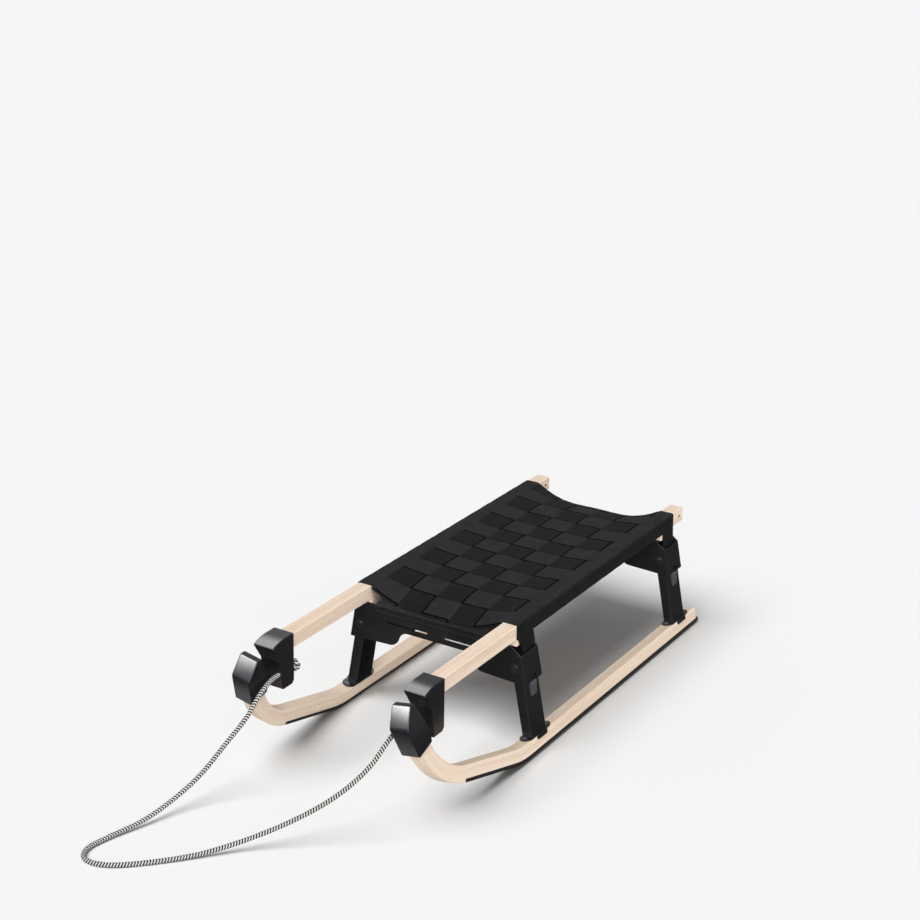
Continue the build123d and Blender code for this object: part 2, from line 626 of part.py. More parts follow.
# Seat webbing: one mat, taut between the rails and dipping to the crossbars at both ends, wrapped over and
# down the outside of both rails
half = RAIL_SPAN / 2 + WEB_GAP
over = RAIL_TOP + WEB_GAP
inner = half - RAIL_W
hem = RAIL_BOTTOM - HEM_DROP
seat_stations = (
    (SEAT_REAR_X, SEAT_END_SAG),
    (SEAT_REAR_X + SEAT_KNEE_L, SEAT_KNEE_SAG),
    (SEAT_REAR_X + SEAT_DIP_L, SEAT_MID_SAG),
    (SEAT_FRONT_X - SEAT_DIP_L, SEAT_MID_SAG),
    (SEAT_FRONT_X - SEAT_KNEE_L, SEAT_KNEE_SAG),
    (SEAT_FRONT_X, SEAT_END_SAG),
)
with BuildPart() as seat:
    for station_x, sag in seat_stations:
        with BuildSketch(cross_plane(station_x)):
            with BuildLine():
                Polyline((0, over - sag), (SEAT_FLAT, over - sag))
                TangentArc((SEAT_FLAT, over - sag), (inner, over), tangent=(1, 0))
                Polyline(
                    (inner, over),
                    (half, over),
                    (half, hem),
                    (half + WEB_T, hem),
                    (half + WEB_T, over + WEB_T),
                    (inner, over + WEB_T),
                )
                TangentArc((SEAT_FLAT, over - sag + WEB_T), (inner, over + WEB_T), tangent=(1, 0))
                Polyline((SEAT_FLAT, over - sag + WEB_T), (0, over - sag + WEB_T), (0, over - sag))
            make_face()
            mirror(about=Plane.YZ)
    loft(ruled=True)
    # Corner tabs that hang down to the crossbar shells
    front_tab = SEAT_FRONT_X - TAB_INSET - TAB_W / 2
    rear_tab = SEAT_REAR_X + TAB_W / 2
    for tab_x, side in ((front_tab, 1), (front_tab, -1), (rear_tab, 1), (rear_tab, -1)):
        with BuildSketch(Plane.XZ.offset(-side * half)):
            with Locations((tab_x, (hem + TAB_BOTTOM) / 2)):
                Rectangle(TAB_W, hem - TAB_BOTTOM)
        extrude(amount=-side * WEB_T)
seat.part.label = "seat_webbing"
export_step(seat.part, "parts/seat_webbing.step")

# Tow rope: from the left knot through its cap, down to the floor, round the loop and back to the right
# knot. The loop's points are shares: of the lead ahead of the nose, of the swing to the side, and of the
# height between floor and hole.
loop_shares = [
    (-0.108, 0.542, 0.989),
    (-0.018, 0.520, 0.874),
    (0.066, 0.468, 0.681),
    (0.199, 0.310, 0.428),
    (0.337, 0.095, 0.225),
    (0.494, -0.135, 0.071),
    (0.669, -0.333, 0.0),
    (0.855, -0.556, 0.0),
    (0.976, -0.746, 0.0),
    (1.000, -0.921, 0.0),
    (0.916, -1.000, 0.0),
    (0.771, -0.964, 0.0),
    (0.590, -0.881, 0.022),
    (0.410, -0.821, 0.109),
    (0.253, -0.746, 0.263),
    (0.120, -0.667, 0.516),
    (0.024, -0.575, 0.747),
    (-0.048, -0.548, 0.923),
    (-0.127, -0.546, 0.9945),
]
rope_route = [(KNOT_X, ROPE_Y, ROPE_Z), (KNOT_X + ROPE_NECK, ROPE_Y, ROPE_Z)]
for ahead, aside, height in loop_shares:
    z = ROPE_FLOOR + height * (ROPE_Z - ROPE_FLOOR)
    rope_route.append((NOSE_X + ahead * ROPE_LEAD, aside * ROPE_SWING, z))
rope_route += [(KNOT_X + ROPE_NECK, -ROPE_Y, ROPE_Z), (KNOT_X, -ROPE_Y, ROPE_Z)]
points = [Vector(*p) for p in rope_route]
bend_radii = []
for before, corner, after in zip(points, points[1:], points[2:]):
    turn = (corner - before).get_angle(after - corner)
    shorter = min((corner - before).length, (after - corner).length)
    bend_radii.append(0.45 * shorter / tan(radians(turn / 2)))
with BuildPart() as rope:
    with BuildLine() as rope_path:
        FilletPolyline(*points, radius=bend_radii)
    with BuildSketch(Plane(origin=points[0], z_dir=points[1] - points[0])):
        Circle(ROPE_D / 2)
    sweep()
rope.part.label = "tow_rope"
export_step(rope.part, "parts/tow_rope.step")
print("rope length", round(rope_path.wires()[0].length), "tightest bend", round(min(bend_radii)))
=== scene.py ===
# %% [markdown]
# # A folding wooden sled, dressed in Blender
#
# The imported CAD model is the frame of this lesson: every rail, runner, leg and cap already has
# its true shape and place. Here it gets its camera, its light and its finishes, and the soft
# pieces that a solid can only stand in for: the woven seat, the braided tow rope and its knots.

# %% Load the frame
import json
import math

import bpy
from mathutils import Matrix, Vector

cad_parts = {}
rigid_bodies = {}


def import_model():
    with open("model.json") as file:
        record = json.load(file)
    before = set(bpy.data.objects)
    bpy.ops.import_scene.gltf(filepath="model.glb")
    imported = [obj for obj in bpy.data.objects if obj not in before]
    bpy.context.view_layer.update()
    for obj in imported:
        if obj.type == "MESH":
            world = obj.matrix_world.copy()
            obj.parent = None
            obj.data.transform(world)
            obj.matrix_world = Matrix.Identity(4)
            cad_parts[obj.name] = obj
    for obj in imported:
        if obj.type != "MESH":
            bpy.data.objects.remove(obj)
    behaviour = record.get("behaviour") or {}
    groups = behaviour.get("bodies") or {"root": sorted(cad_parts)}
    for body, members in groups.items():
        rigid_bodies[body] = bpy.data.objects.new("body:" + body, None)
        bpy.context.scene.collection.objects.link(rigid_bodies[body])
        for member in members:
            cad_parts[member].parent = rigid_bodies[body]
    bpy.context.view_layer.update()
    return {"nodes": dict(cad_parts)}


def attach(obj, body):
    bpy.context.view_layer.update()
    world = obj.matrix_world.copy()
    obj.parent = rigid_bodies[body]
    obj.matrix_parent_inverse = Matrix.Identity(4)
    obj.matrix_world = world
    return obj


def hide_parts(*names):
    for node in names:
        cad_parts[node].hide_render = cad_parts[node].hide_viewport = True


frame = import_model()

# %% [markdown]
# ## Camera
#
# The viewing angle comes first, because every later choice is judged through it. The lens and
# the place were worked out from the straight edges of rails and runners, so there is no shift
# and no roll, only a long lens looking down on the nose from the sled's left.

# %% Camera
camera_data = bpy.data.cameras.new("camera")
camera_data.lens = 72.96
camera_data.sensor_width = 36.0
camera_data.sensor_fit = "HORIZONTAL"
camera = bpy.data.objects.new("camera", camera_data)
camera.location = (2.6832, 1.68045, 1.68282)
camera.rotation_euler = (math.radians(69.118), 0.0, math.radians(122.732))
bpy.context.collection.objects.link(camera)
bpy.context.scene.camera = camera
print("camera lens", camera_data.lens, "mm")

# %% [markdown]
# ## Colours and nodes
#
# Colours are easiest to name as sRGB hex values, but shaders work in linear light, so one
# function turns the first into the second. A second small function adds a node of any kind, sets
# it up and links it, which keeps each material below readable as a recipe.

# %% Helpers for colours and nodes
def linear(hex_colour):
    """Linear RGBA of an sRGB hex colour."""
    parts = [int(hex_colour[i:i + 2], 16) / 255 for i in (1, 3, 5)]
    return [c / 12.92 if c <= 0.04045 else ((c + 0.055) / 1.055) ** 2.4 for c in parts] + [1.0]


def add(material, kind, links=(), stops=(), into=None, output=0, **settings):
    """Adds a node of a kind.

    links has (input, socket or value) pairs, stops a ramp's (place, hex colour) pairs, into the
    socket that the node's output feeds, and settings the node's own properties.
    """
    tree = material.node_tree
    node = tree.nodes.new(kind)
    for key, value in settings.items():
        setattr(node, key, value)
    for name, value in links:
        if isinstance(value, bpy.types.NodeSocket):
            tree.links.new(value, node.inputs[name])
        else:
            node.inputs[name].default_value = value
    if stops:
        elements = node.color_ramp.elements
        while len(elements) < len(stops):
            elements.new(0.5)
        for element, (place, colour) in zip(elements, stops):
            element.position = place
            element.color = linear(colour)
    if into is not None:
        tree.links.new(node.outputs[output], into)
    return node


def start_material(name, roughness, specular=0.5, metallic=0.0):
    """A new material, and the sockets of its surface shader."""
    material = bpy.data.materials.new(name)
    material.use_nodes = True
    surface = material.node_tree.nodes["Principled BSDF"].inputs
    surface["Roughness"].default_value = roughness
    surface["Specular IOR Level"].default_value = specular
    surface["Metallic"].default_value = metallic
    return material, surface


# A Mix node has a place for each kind of value. These are the places for numbers and colours.
MIX_SHARE, MIX_A, MIX_B = 0, 2, 3
MIX_COLOUR_A, MIX_COLOUR_B, MIX_COLOUR_OUT = 6, 7, 2
print("mid grey in linear light:", round(linear("#808080")[0], 3))

# %% [markdown]
# ## Floor and light
#
# The sled stands on a plain pale floor with no visible edge. Product shots often light the
# object and its backdrop apart, and light linking does the same here: one soft sun is for the
# floor alone, from the front left, so the shadow gathers under the seat, and others are for the
# sled, from beside the camera. The seat doesn't shade the runners, because a studio's many soft
# boxes reach under it. The sky is dim, because black plastic mirrors all that it sees, and the
# floor keeps out of reflections. Soft panels are for the nose caps and the steel alone, each
# placed where one of their faces mirrors it.

# %% Floor
# Matt white paint on board, too even for any pattern to show.
FLOOR_SIZE, FLOOR_DROP = 80.0, 0.0004
bpy.ops.object.select_all(action="DESELECT")
bpy.ops.mesh.primitive_plane_add(size=FLOOR_SIZE, location=(0.0, 0.0, -FLOOR_DROP))
floor = bpy.context.object
floor.name = "floor"
floor.visible_glossy = False
floor_paint, floor_surface = start_material("pale_studio_floor", roughness=0.9, specular=0.0)
floor_surface["Base Color"].default_value = linear("#F2F2F2")
floor.data.materials.append(floor_paint)
print("floor", FLOOR_SIZE, "m wide")

# %% Suns
lit_floor, lit_frame, lit_runners, lit_upper_caps, lit_lower_caps, lit_steel = (
    bpy.data.collections.new(f"lit_{group}")
    for group in ("floor", "frame", "runners", "upper_caps", "lower_caps", "steel"))
lit_floor.objects.link(floor)
for sun_name, energy, spread, heading, lit, shaded_by in (
    ("floor_sun", 2.83, 46, (-0.55, 0.20, -1.0), lit_floor, None),
    ("frame_sun", 2.9, 40, (-0.40, -0.45, -0.80), lit_frame, None),
    ("frame_front_sun", 0.8, 50, (-0.88, -0.25, -0.28), lit_frame, None),
    ("runner_sun", 2.5, 40, (-0.45, -0.48, -0.75), lit_runners, lit_runners),
    ("runner_front_sun", 0.8, 50, (-0.88, -0.25, -0.28), lit_runners, lit_runners),
):
    sun_data = bpy.data.lights.new(sun_name, "SUN")
    sun_data.energy = energy
    sun_data.angle = math.radians(spread)
    sun = bpy.data.objects.new(sun_name, sun_data)
    sun.rotation_euler = Vector(heading).to_track_quat("-Z", "Y").to_euler()
    sun.light_linking.receiver_collection = lit
    if shaded_by:
        sun.light_linking.blocker_collection = shaded_by
    bpy.context.collection.objects.link(sun)
    print(sun_name, "spread", spread, "degrees")

# %% Panels that the caps and the steel mirror
CAPS_PLACE = Vector((0.46, 0.0, 0.19))
PANEL_AWAY = 1.4
for panel_name, power, size, way, lit in (
    ("front_panel", 34.0, 0.50, (0.22, -0.46, 0.86), lit_lower_caps),
    ("low_panel", 2.0, 0.90, (0.29, -0.50, -0.81), lit_lower_caps),
    ("top_panel", 15.0, 0.80, (-0.30, -0.50, 0.81), lit_upper_caps),
    ("back_panel", 8.0, 1.20, (-0.71, -0.50, 0.50), lit_steel),
):
    panel_data = bpy.data.lights.new(panel_name, "AREA")
    panel_data.energy = power
    panel_data.size = size
    panel = bpy.data.objects.new(panel_name, panel_data)
    panel.location = CAPS_PLACE + PANEL_AWAY * Vector(way).normalized()
    panel.rotation_euler = (-Vector(way)).to_track_quat("-Z", "Y").to_euler()
    panel.light_linking.receiver_collection = lit
    panel.light_linking.blocker_collection = lit
    bpy.context.collection.objects.link(panel)
    print(panel_name, size, "m wide")

# %% Sky
SKY_STRENGTH = 0.40
sky = bpy.data.worlds.new("studio_sky")
sky.use_nodes = True
bpy.context.scene.world = sky
sky_surface = sky.node_tree.nodes["Background"].inputs
sky_way = add(sky, "ShaderNodeTexCoord").outputs["Generated"]
up = add(sky, "ShaderNodeSeparateXYZ", [("Vector", sky_way)])
add(sky, "ShaderNodeValToRGB", [("Fac", up.outputs["Z"])], into=sky_surface["Color"],
    stops=[(0.0, "#808080"), (0.04, "#F0F0F0"), (0.5, "#DADADA"), (1.0, "#C4C4C4")])
sky_surface["Strength"].default_value = SKY_STRENGTH
bpy.context.scene.view_settings.view_transform = "Standard"
print("sky at strength", SKY_STRENGTH)

# %% [markdown]
# ## Beech
#
# Rails, spacer blocks and runners are pale steamed beech under a clear satin lacquer. Beech has
# a quiet straight grain with short darker flecks. A picture of wood would repeat, so noise that is
# stretched along the stick gives both. The runners are bent, so their grain has to follow the
# bend, and a few nodes straighten the runner's line out for it.

# %% Line of the runner's bend
# The runner's sole is flat, then a ramp, then a round nose, all in the plane of its leg.
SPLAY = math.radians(10.5)
PIVOT_Y, PIVOT_Z = 0.1685, 0.164
RUNNER_REACH = 0.16483
RAMP_TILT = math.radians(15.6)
NOSE_BEND, NOSE_CENTRE_X, NOSE_CENTRE_UP = 0.17049, 0.31671, 0.04682
nose_centre = (NOSE_CENTRE_X, PIVOT_Y - NOSE_CENTRE_UP * math.sin(SPLAY),
               PIVOT_Z + NOSE_CENTRE_UP * math.cos(SPLAY))
nose_way = Vector((1, 0, 0))
up_way = Vector((0, -math.sin(SPLAY), math.cos(SPLAY)))
out_way = Vector((0, math.cos(SPLAY), math.sin(SPLAY)))
ramp_way = nose_way * math.cos(RAMP_TILT) + up_way * math.sin(RAMP_TILT)
over_way = up_way * math.cos(RAMP_TILT) - nose_way * math.sin(RAMP_TILT)


def along_bend(material, place):
    """Coordinates that follow the runner: along its line, out of its plane, above its sole."""
    xyz = add(material, "ShaderNodeSeparateXYZ", [("Vector", place)]).outputs
    aside = add(material, "ShaderNodeMath", [(0, xyz["Y"])], operation="ABSOLUTE")
    one_side = add(material, "ShaderNodeCombineXYZ",
                   [("X", xyz["X"]), ("Y", aside.outputs[0]), ("Z", xyz["Z"])])
    arm = add(material, "ShaderNodeVectorMath",
              [(0, one_side.outputs[0]), (1, nose_centre)], operation="SUBTRACT")
    ahead, rise, out, past_ramp, over_ramp = (
        add(material, "ShaderNodeVectorMath", [(0, arm.outputs[0]), (1, way)],
            operation="DOT_PRODUCT").outputs["Value"]
        for way in (nose_way, up_way, out_way, ramp_way, over_way))
    flat_depth = add(material, "ShaderNodeMath",
                     [(0, rise), (1, RUNNER_REACH + NOSE_CENTRE_UP)], operation="ADD")
    ramp_depth = add(material, "ShaderNodeMath", [(0, over_ramp), (1, NOSE_BEND)], operation="ADD")
    straight = add(material, "ShaderNodeMath",
                   [(0, flat_depth.outputs[0]), (1, ramp_depth.outputs[0])], operation="MINIMUM")
    spoke = add(material, "ShaderNodeCombineXYZ", [("X", ahead), ("Y", rise)])
    length = add(material, "ShaderNodeVectorMath", [(0, spoke.outputs[0])], operation="LENGTH")
    round_depth = add(material, "ShaderNodeMath",
                      [(0, NOSE_BEND), (1, length.outputs["Value"])], operation="SUBTRACT")
    down = add(material, "ShaderNodeMath", [(0, rise), (1, -1.0)], operation="MULTIPLY")
    turn = add(material, "ShaderNodeMath", [(0, ahead), (1, down.outputs[0])], operation="ARCTAN2")
    arc = add(material, "ShaderNodeMath",
              [(0, turn.outputs[0]), (1, NOSE_BEND)], operation="MULTIPLY")
    bent = add(material, "ShaderNodeMath", [(0, past_ramp), (1, 0.0)], operation="GREATER_THAN")
    along = add(material, "ShaderNodeMix",
                [(MIX_SHARE, bent.outputs[0]), (MIX_A, ahead), (MIX_B, arc.outputs[0])])
    depth = add(material, "ShaderNodeMix",
                [(MIX_SHARE, bent.outputs[0]), (MIX_A, straight.outputs[0]),
                 (MIX_B, round_depth.outputs[0])])
    return add(material, "ShaderNodeCombineXYZ",
               [("X", along.outputs[0]), ("Y", out), ("Z", depth.outputs[0])]).outputs[0]


print("nose bend radius", NOSE_BEND, "m")

# %% Beech
# Planed beech under satin lacquer. Its grain lines are drawn about 9 mm wide and 300 mm long,
# coarser than life, because finer ones wouldn't show at this distance. The flecks are 2 mm wide
# and 18 mm long. Painted shade darkens the inside of the bores through the rails.
BORE_X, BORE_Z, BORE_R = -0.4855, 0.233, 0.00275
BORE_EDGE = 0.0001


def make_beech(name, bent=False):
    """Beech with its grain along the stick, and round the nose where the stick is bent."""
    material, surface = start_material(name, roughness=0.46, specular=0.35)
    place = add(material, "ShaderNodeTexCoord").outputs["Object"]
    if bent:
        place = along_bend(material, place)
    stretched = add(material, "ShaderNodeMapping",
                    [("Vector", place), ("Scale", (3.0, 110.0, 110.0))])
    grain = add(material, "ShaderNodeTexNoise",
                [("Vector", stretched.outputs["Vector"]), ("Scale", 1.0), ("Detail", 4.0),
                 ("Roughness", 0.6)]).outputs["Fac"]
    tone = add(material, "ShaderNodeValToRGB", [("Fac", grain)],
               stops=[(0.25, "#DCC3AB"), (0.47, "#E6D0BA"), (0.68, "#ECDAC8")])
    fine = add(material, "ShaderNodeMapping", [("Vector", place), ("Scale", (55.0, 520.0, 520.0))])
    fleck = add(material, "ShaderNodeTexNoise",
                [("Vector", fine.outputs["Vector"]), ("Scale", 1.0), ("Detail", 1.0)])
    spot = add(material, "ShaderNodeMapRange",
               [("Value", fleck.outputs["Fac"]), ("From Min", 0.60), ("From Max", 0.74),
                ("To Max", 0.40)])
    flecked = add(material, "ShaderNodeMix",
                  [(MIX_SHARE, spot.outputs["Result"]), (MIX_COLOUR_A, tone.outputs["Color"]),
                   (MIX_COLOUR_B, linear("#C9A88D"))], data_type="RGBA")
    # Painted shade inside the bores: dark wood within a bore's radius of its axis.
    apart = add(material, "ShaderNodeVectorMath",
                [(0, place), (1, (BORE_X, 0, BORE_Z))], operation="SUBTRACT")
    flat = add(material, "ShaderNodeVectorMath",
               [(0, apart.outputs[0]), (1, (1, 0, 1))], operation="MULTIPLY")
    ring = add(material, "ShaderNodeVectorMath", [(0, flat.outputs[0])], operation="LENGTH")
    bore_shade = add(material, "ShaderNodeMath",
                [(0, ring.outputs["Value"]), (1, BORE_R + BORE_EDGE)], operation="LESS_THAN")
    add(material, "ShaderNodeMix",
        [(MIX_SHARE, bore_shade.outputs[0]), (MIX_COLOUR_A, flecked.outputs[MIX_COLOUR_OUT]),
         (MIX_COLOUR_B, linear("#2A1A10"))],
        data_type="RGBA", into=surface["Base Color"], output=MIX_COLOUR_OUT)
    add(material, "ShaderNodeMapRange", [("Value", grain), ("To Min", 0.40), ("To Max", 0.55)],
        into=surface["Roughness"])
    add(material, "ShaderNodeBump", [("Height", grain), ("Strength", 0.10), ("Distance", 0.0006)],
        into=surface["Normal"])
    return material


beech = make_beech("lacquered_beech")
bent_beech = make_beech("lacquered_bent_beech", bent=True)
print("made", beech.name, "and", bent_beech.name)

# %% [markdown]
# ## Steel and plastic
#
# The crossbars and legs are pressed steel under black powder coat, and the nose caps are moulded
# black plastic with a satin face. Both are nearly black, so the eye knows them by what they
# mirror: a faint unevenness breaks up their reflections, and a Bevel node rounds their sharp CAD
# edges in the shading, so that each edge catches a line of light. The glide strips are a drawn
# plastic section. The latches and screws are zinc plated, and the hinge pins are blackened.

# %% Powder coat
# Baked epoxy powder, half glossy. Its orange peel is drawn 2.4 mm wide, and patches of about
# 40 mm vary the gloss. Pressed and coated edges are round to 1.8 mm.
powder, powder_surface = start_material("black_powder_coat", roughness=0.4)
powder_place = add(powder, "ShaderNodeTexCoord").outputs["Object"]
peel = add(powder, "ShaderNodeTexNoise",
           [("Vector", powder_place), ("Scale", 420.0), ("Detail", 2.0)])
patch = add(powder, "ShaderNodeTexNoise",
            [("Vector", powder_place), ("Scale", 26.0), ("Detail", 3.0)]).outputs["Fac"]
add(powder, "ShaderNodeValToRGB", [("Fac", patch)], into=powder_surface["Base Color"],
    stops=[(0.3, "#121214"), (0.7, "#19191C")])
add(powder, "ShaderNodeMapRange", [("Value", patch), ("To Min", 0.32), ("To Max", 0.5)],
    into=powder_surface["Roughness"])
pressed_edge = add(powder, "ShaderNodeBevel", [("Radius", 0.0018)], samples=8)
add(powder, "ShaderNodeBump",
    [("Height", peel.outputs["Fac"]), ("Strength", 0.16), ("Distance", 0.0005),
     ("Normal", pressed_edge.outputs["Normal"])], into=powder_surface["Normal"])
print("made", powder.name)

# %% Moulded plastic
# Black polyamide from a spark eroded mould. Its grit is drawn 1 mm wide, and flow patches of
# 55 mm vary the gloss. Each face swells a little about a middle height, which spreads a panel's
# reflection into a soft gradient. Moulded edges are round to 2.2 mm.
FACE_SWELL, GRIT_HEIGHT = 3.2, 0.00002


def make_moulded(name, middle_z):
    """Moulded plastic for a cap whose faces are crowned about a height."""
    material, surface = start_material(name, roughness=0.3)
    place = add(material, "ShaderNodeTexCoord").outputs["Object"]
    spark = add(material, "ShaderNodeTexNoise",
                [("Vector", place), ("Scale", 900.0), ("Detail", 2.0)])
    flow = add(material, "ShaderNodeTexNoise",
               [("Vector", place), ("Scale", 18.0), ("Detail", 2.0)]).outputs["Fac"]
    add(material, "ShaderNodeValToRGB", [("Fac", flow)], into=surface["Base Color"],
        stops=[(0.3, "#141418"), (0.7, "#1B1B20")])
    add(material, "ShaderNodeMapRange", [("Value", flow), ("To Min", 0.24), ("To Max", 0.36)],
        into=surface["Roughness"])
    height = add(material, "ShaderNodeSeparateXYZ", [("Vector", place)])
    above = add(material, "ShaderNodeMath",
                [(0, height.outputs["Z"]), (1, middle_z)], operation="SUBTRACT")
    square = add(material, "ShaderNodeMath", [(0, above.outputs[0]), (1, 2.0)], operation="POWER")
    fall = add(material, "ShaderNodeMath",
               [(0, square.outputs[0]), (1, -FACE_SWELL)], operation="MULTIPLY")
    grit = add(material, "ShaderNodeMath",
               [(0, spark.outputs["Fac"]), (1, GRIT_HEIGHT)], operation="MULTIPLY")
    relief = add(material, "ShaderNodeMath",
                 [(0, fall.outputs[0]), (1, grit.outputs[0])], operation="ADD")
    moulded_edge = add(material, "ShaderNodeBevel", [("Radius", 0.0022)], samples=8)
    add(material, "ShaderNodeBump",
        [("Height", relief.outputs[0]), ("Strength", 1.0), ("Distance", 1.0),
         ("Normal", moulded_edge.outputs["Normal"])], into=surface["Normal"])
    return material


upper_plastic = make_moulded("moulded_plastic_upper", 0.222)
lower_plastic = make_moulded("moulded_plastic_lower", 0.160)
print("made", upper_plastic.name, "and", lower_plastic.name)

# %% Drawn strip
# Polyethylene drawn through a die, which leaves lines along it, 1.7 mm apart and 250 mm long.
drawn, drawn_surface = start_material("drawn_black_strip", roughness=0.45, specular=0.4)
drawn_place = add(drawn, "ShaderNodeTexCoord").outputs["Object"]
lines = add(drawn, "ShaderNodeMapping", [("Vector", drawn_place), ("Scale", (4.0, 600.0, 600.0))])
streak = add(drawn, "ShaderNodeTexNoise",
             [("Vector", lines.outputs["Vector"]), ("Scale", 1.0), ("Detail", 2.0)]).outputs["Fac"]
add(drawn, "ShaderNodeValToRGB", [("Fac", streak)], into=drawn_surface["Base Color"],
    stops=[(0.3, "#1D1817"), (0.7, "#2E2725")])
add(drawn, "ShaderNodeBump", [("Height", streak), ("Strength", 0.15), ("Distance", 0.0004)],
    into=drawn_surface["Normal"])
print("made", drawn.name)

# %% Zinc plate
# Bright zinc on brushed spring steel. Its brush lines are drawn 1 mm apart and 17 mm long, and
# blur its gleam.
zinc, zinc_surface = start_material("zinc_plated_spring_steel", roughness=0.36, metallic=0.75)
zinc_place = add(zinc, "ShaderNodeTexCoord").outputs["Object"]
brushed = add(zinc, "ShaderNodeMapping", [("Vector", zinc_place), ("Scale", (900.0, 60.0, 60.0))])
brush = add(zinc, "ShaderNodeTexNoise",
            [("Vector", brushed.outputs["Vector"]), ("Scale", 1.0), ("Detail", 2.0)]).outputs["Fac"]
add(zinc, "ShaderNodeValToRGB", [("Fac", brush)], into=zinc_surface["Base Color"],
    stops=[(0.3, "#6C6C73"), (0.7, "#8A8A91")])
add(zinc, "ShaderNodeBump", [("Height", brush), ("Strength", 0.1), ("Distance", 0.0003)],
    into=zinc_surface["Normal"])
print("made", zinc.name)

# %% Black zinc
# Passivated zinc plate on the hinge pins: a dark metal with cloudy patches 3 mm wide.
pin_plate, pin_surface = start_material("black_zinc_plate", roughness=0.38, metallic=0.85)
pin_place = add(pin_plate, "ShaderNodeTexCoord").outputs["Object"]
cloud = add(pin_plate, "ShaderNodeTexNoise",
            [("Vector", pin_place), ("Scale", 350.0), ("Detail", 2.0)]).outputs["Fac"]
add(pin_plate, "ShaderNodeValToRGB", [("Fac", cloud)], into=pin_surface["Base Color"],
    stops=[(0.3, "#3A3A3D"), (0.7, "#5C5C61")])
add(pin_plate, "ShaderNodeMapRange", [("Value", cloud), ("To Min", 0.3), ("To Max", 0.48)],
    into=pin_surface["Roughness"])
print("made", pin_plate.name)

# %% Give the CAD nodes their finishes
finish_of = {
    "rail": beech, "spacer": beech, "runner": bent_beech,
    "crossbar": powder, "leg": powder, "pivot": pin_plate,
    "nose_cap_upper": upper_plastic, "nose_cap_lower": lower_plastic,
    "glide": drawn, "latch": zinc, "nose_pin": zinc,
}
finished = 0
for node_name, node_object in frame["nodes"].items():
    for prefix, finish in finish_of.items():
        if node_name.startswith(prefix):
            node_object.data.materials.clear()
            node_object.data.materials.append(finish)
            finished += 1
print("finishes given to", finished, "of", len(frame["nodes"]), "nodes")

# %% [markdown]
# ## Tow rope
#
# The rope is a limp braided cord, 8 mm thick. It leaves the left cap, falls to the floor, runs
# out ahead of the nose in one loose loop and comes back to the right cap. Its route is a smooth
# NURBS curve, steered by the points of the CAD tube. A curve with a round bevel would be quicker,
# but a braid needs a skin with a map of its own. So a mesh follows the curve's points, and its
# skin swells a little where each strand passes.

# %% Rope route
NOSE_X = 0.5065
KNOT_X = 0.392306
ROPE_D = 0.008
ROPE_Y, ROPE_Z = 0.142, 0.186
ROPE_FLOOR = 0.0041
rope_route = [
    (KNOT_X, ROPE_Y, ROPE_Z),
    (KNOT_X + 0.048, ROPE_Y, ROPE_Z),
    (NOSE_X - 0.036, 0.1366, 0.184),
    (NOSE_X - 0.006, 0.131, 0.163),
    (NOSE_X + 0.022, 0.118, 0.128),
    (NOSE_X + 0.066, 0.078, 0.082),
    (NOSE_X + 0.112, 0.024, 0.045),
    (NOSE_X + 0.164, -0.034, 0.017),
    (NOSE_X + 0.222, -0.084, ROPE_FLOOR),
    (NOSE_X + 0.284, -0.140, ROPE_FLOOR),
    (NOSE_X + 0.324, -0.188, ROPE_FLOOR),
    (NOSE_X + 0.332, -0.232, ROPE_FLOOR),
    (NOSE_X + 0.304, -0.252, ROPE_FLOOR),
    (NOSE_X + 0.256, -0.243, ROPE_FLOOR),
    (NOSE_X + 0.196, -0.222, ROPE_FLOOR + 0.004),
    (NOSE_X + 0.136, -0.207, 0.024),
    (NOSE_X + 0.084, -0.188, 0.052),
    (NOSE_X + 0.040, -0.168, 0.098),
    (NOSE_X + 0.008, -0.1449, 0.140),
    (NOSE_X - 0.016, -0.1381, 0.172),
    (NOSE_X - 0.042, -0.1376, 0.185),
    (KNOT_X + 0.048, -ROPE_Y, ROPE_Z),
    (KNOT_X, -ROPE_Y, ROPE_Z),
]


def smooth_points(name, controls, resolution, cyclic=False):
    """Points along a NURBS curve with these control points."""
    curve = bpy.data.curves.new(name, "CURVE")
    curve.dimensions = "3D"
    curve.resolution_u = resolution
    spline = curve.splines.new("NURBS")
    spline.points.add(len(controls) - 1)
    for point, place in zip(spline.points, controls):
        point.co = (*place, 1.0)
    spline.use_cyclic_u = cyclic
    spline.use_endpoint_u = not cyclic
    spline.order_u = 3
    holder = bpy.data.objects.new(name, curve)
    bpy.context.collection.objects.link(holder)
    graph = bpy.context.evaluated_depsgraph_get()
    traced = bpy.data.meshes.new_from_object(holder.evaluated_get(graph))
    places = [v.co.copy() for v in traced.vertices]
    bpy.data.objects.remove(holder)
    bpy.data.curves.remove(curve)
    bpy.data.meshes.remove(traced)
    return places


def even_steps(places, step):
    """The same line with points about a step apart."""
    kept = [places[0]]
    for place in places[1:-1]:
        if (place - kept[-1]).length >= step:
            kept.append(place)
    if (places[-1] - kept[-1]).length < 0.5 * step and len(kept) > 1:
        kept.pop()
    return kept + [places[-1]]


def line_length(line):
    """Length of a line of points."""
    return sum((b - a).length for a, b in zip(line, line[1:]))


ROPE_STEP = 0.0018
rope_line = even_steps(smooth_points("rope_route", rope_route, resolution=60), ROPE_STEP)
print("rope", round(line_length(rope_line), 3), "m in", len(rope_line), "points")

# %% Braided skin
BRAID_PITCH, BRAID_LEAN, BRAID_SWELL = 0.0049, 1.3, 0.05
BRAID_SIDES = 16
END_UV = (0.1, 0.1)


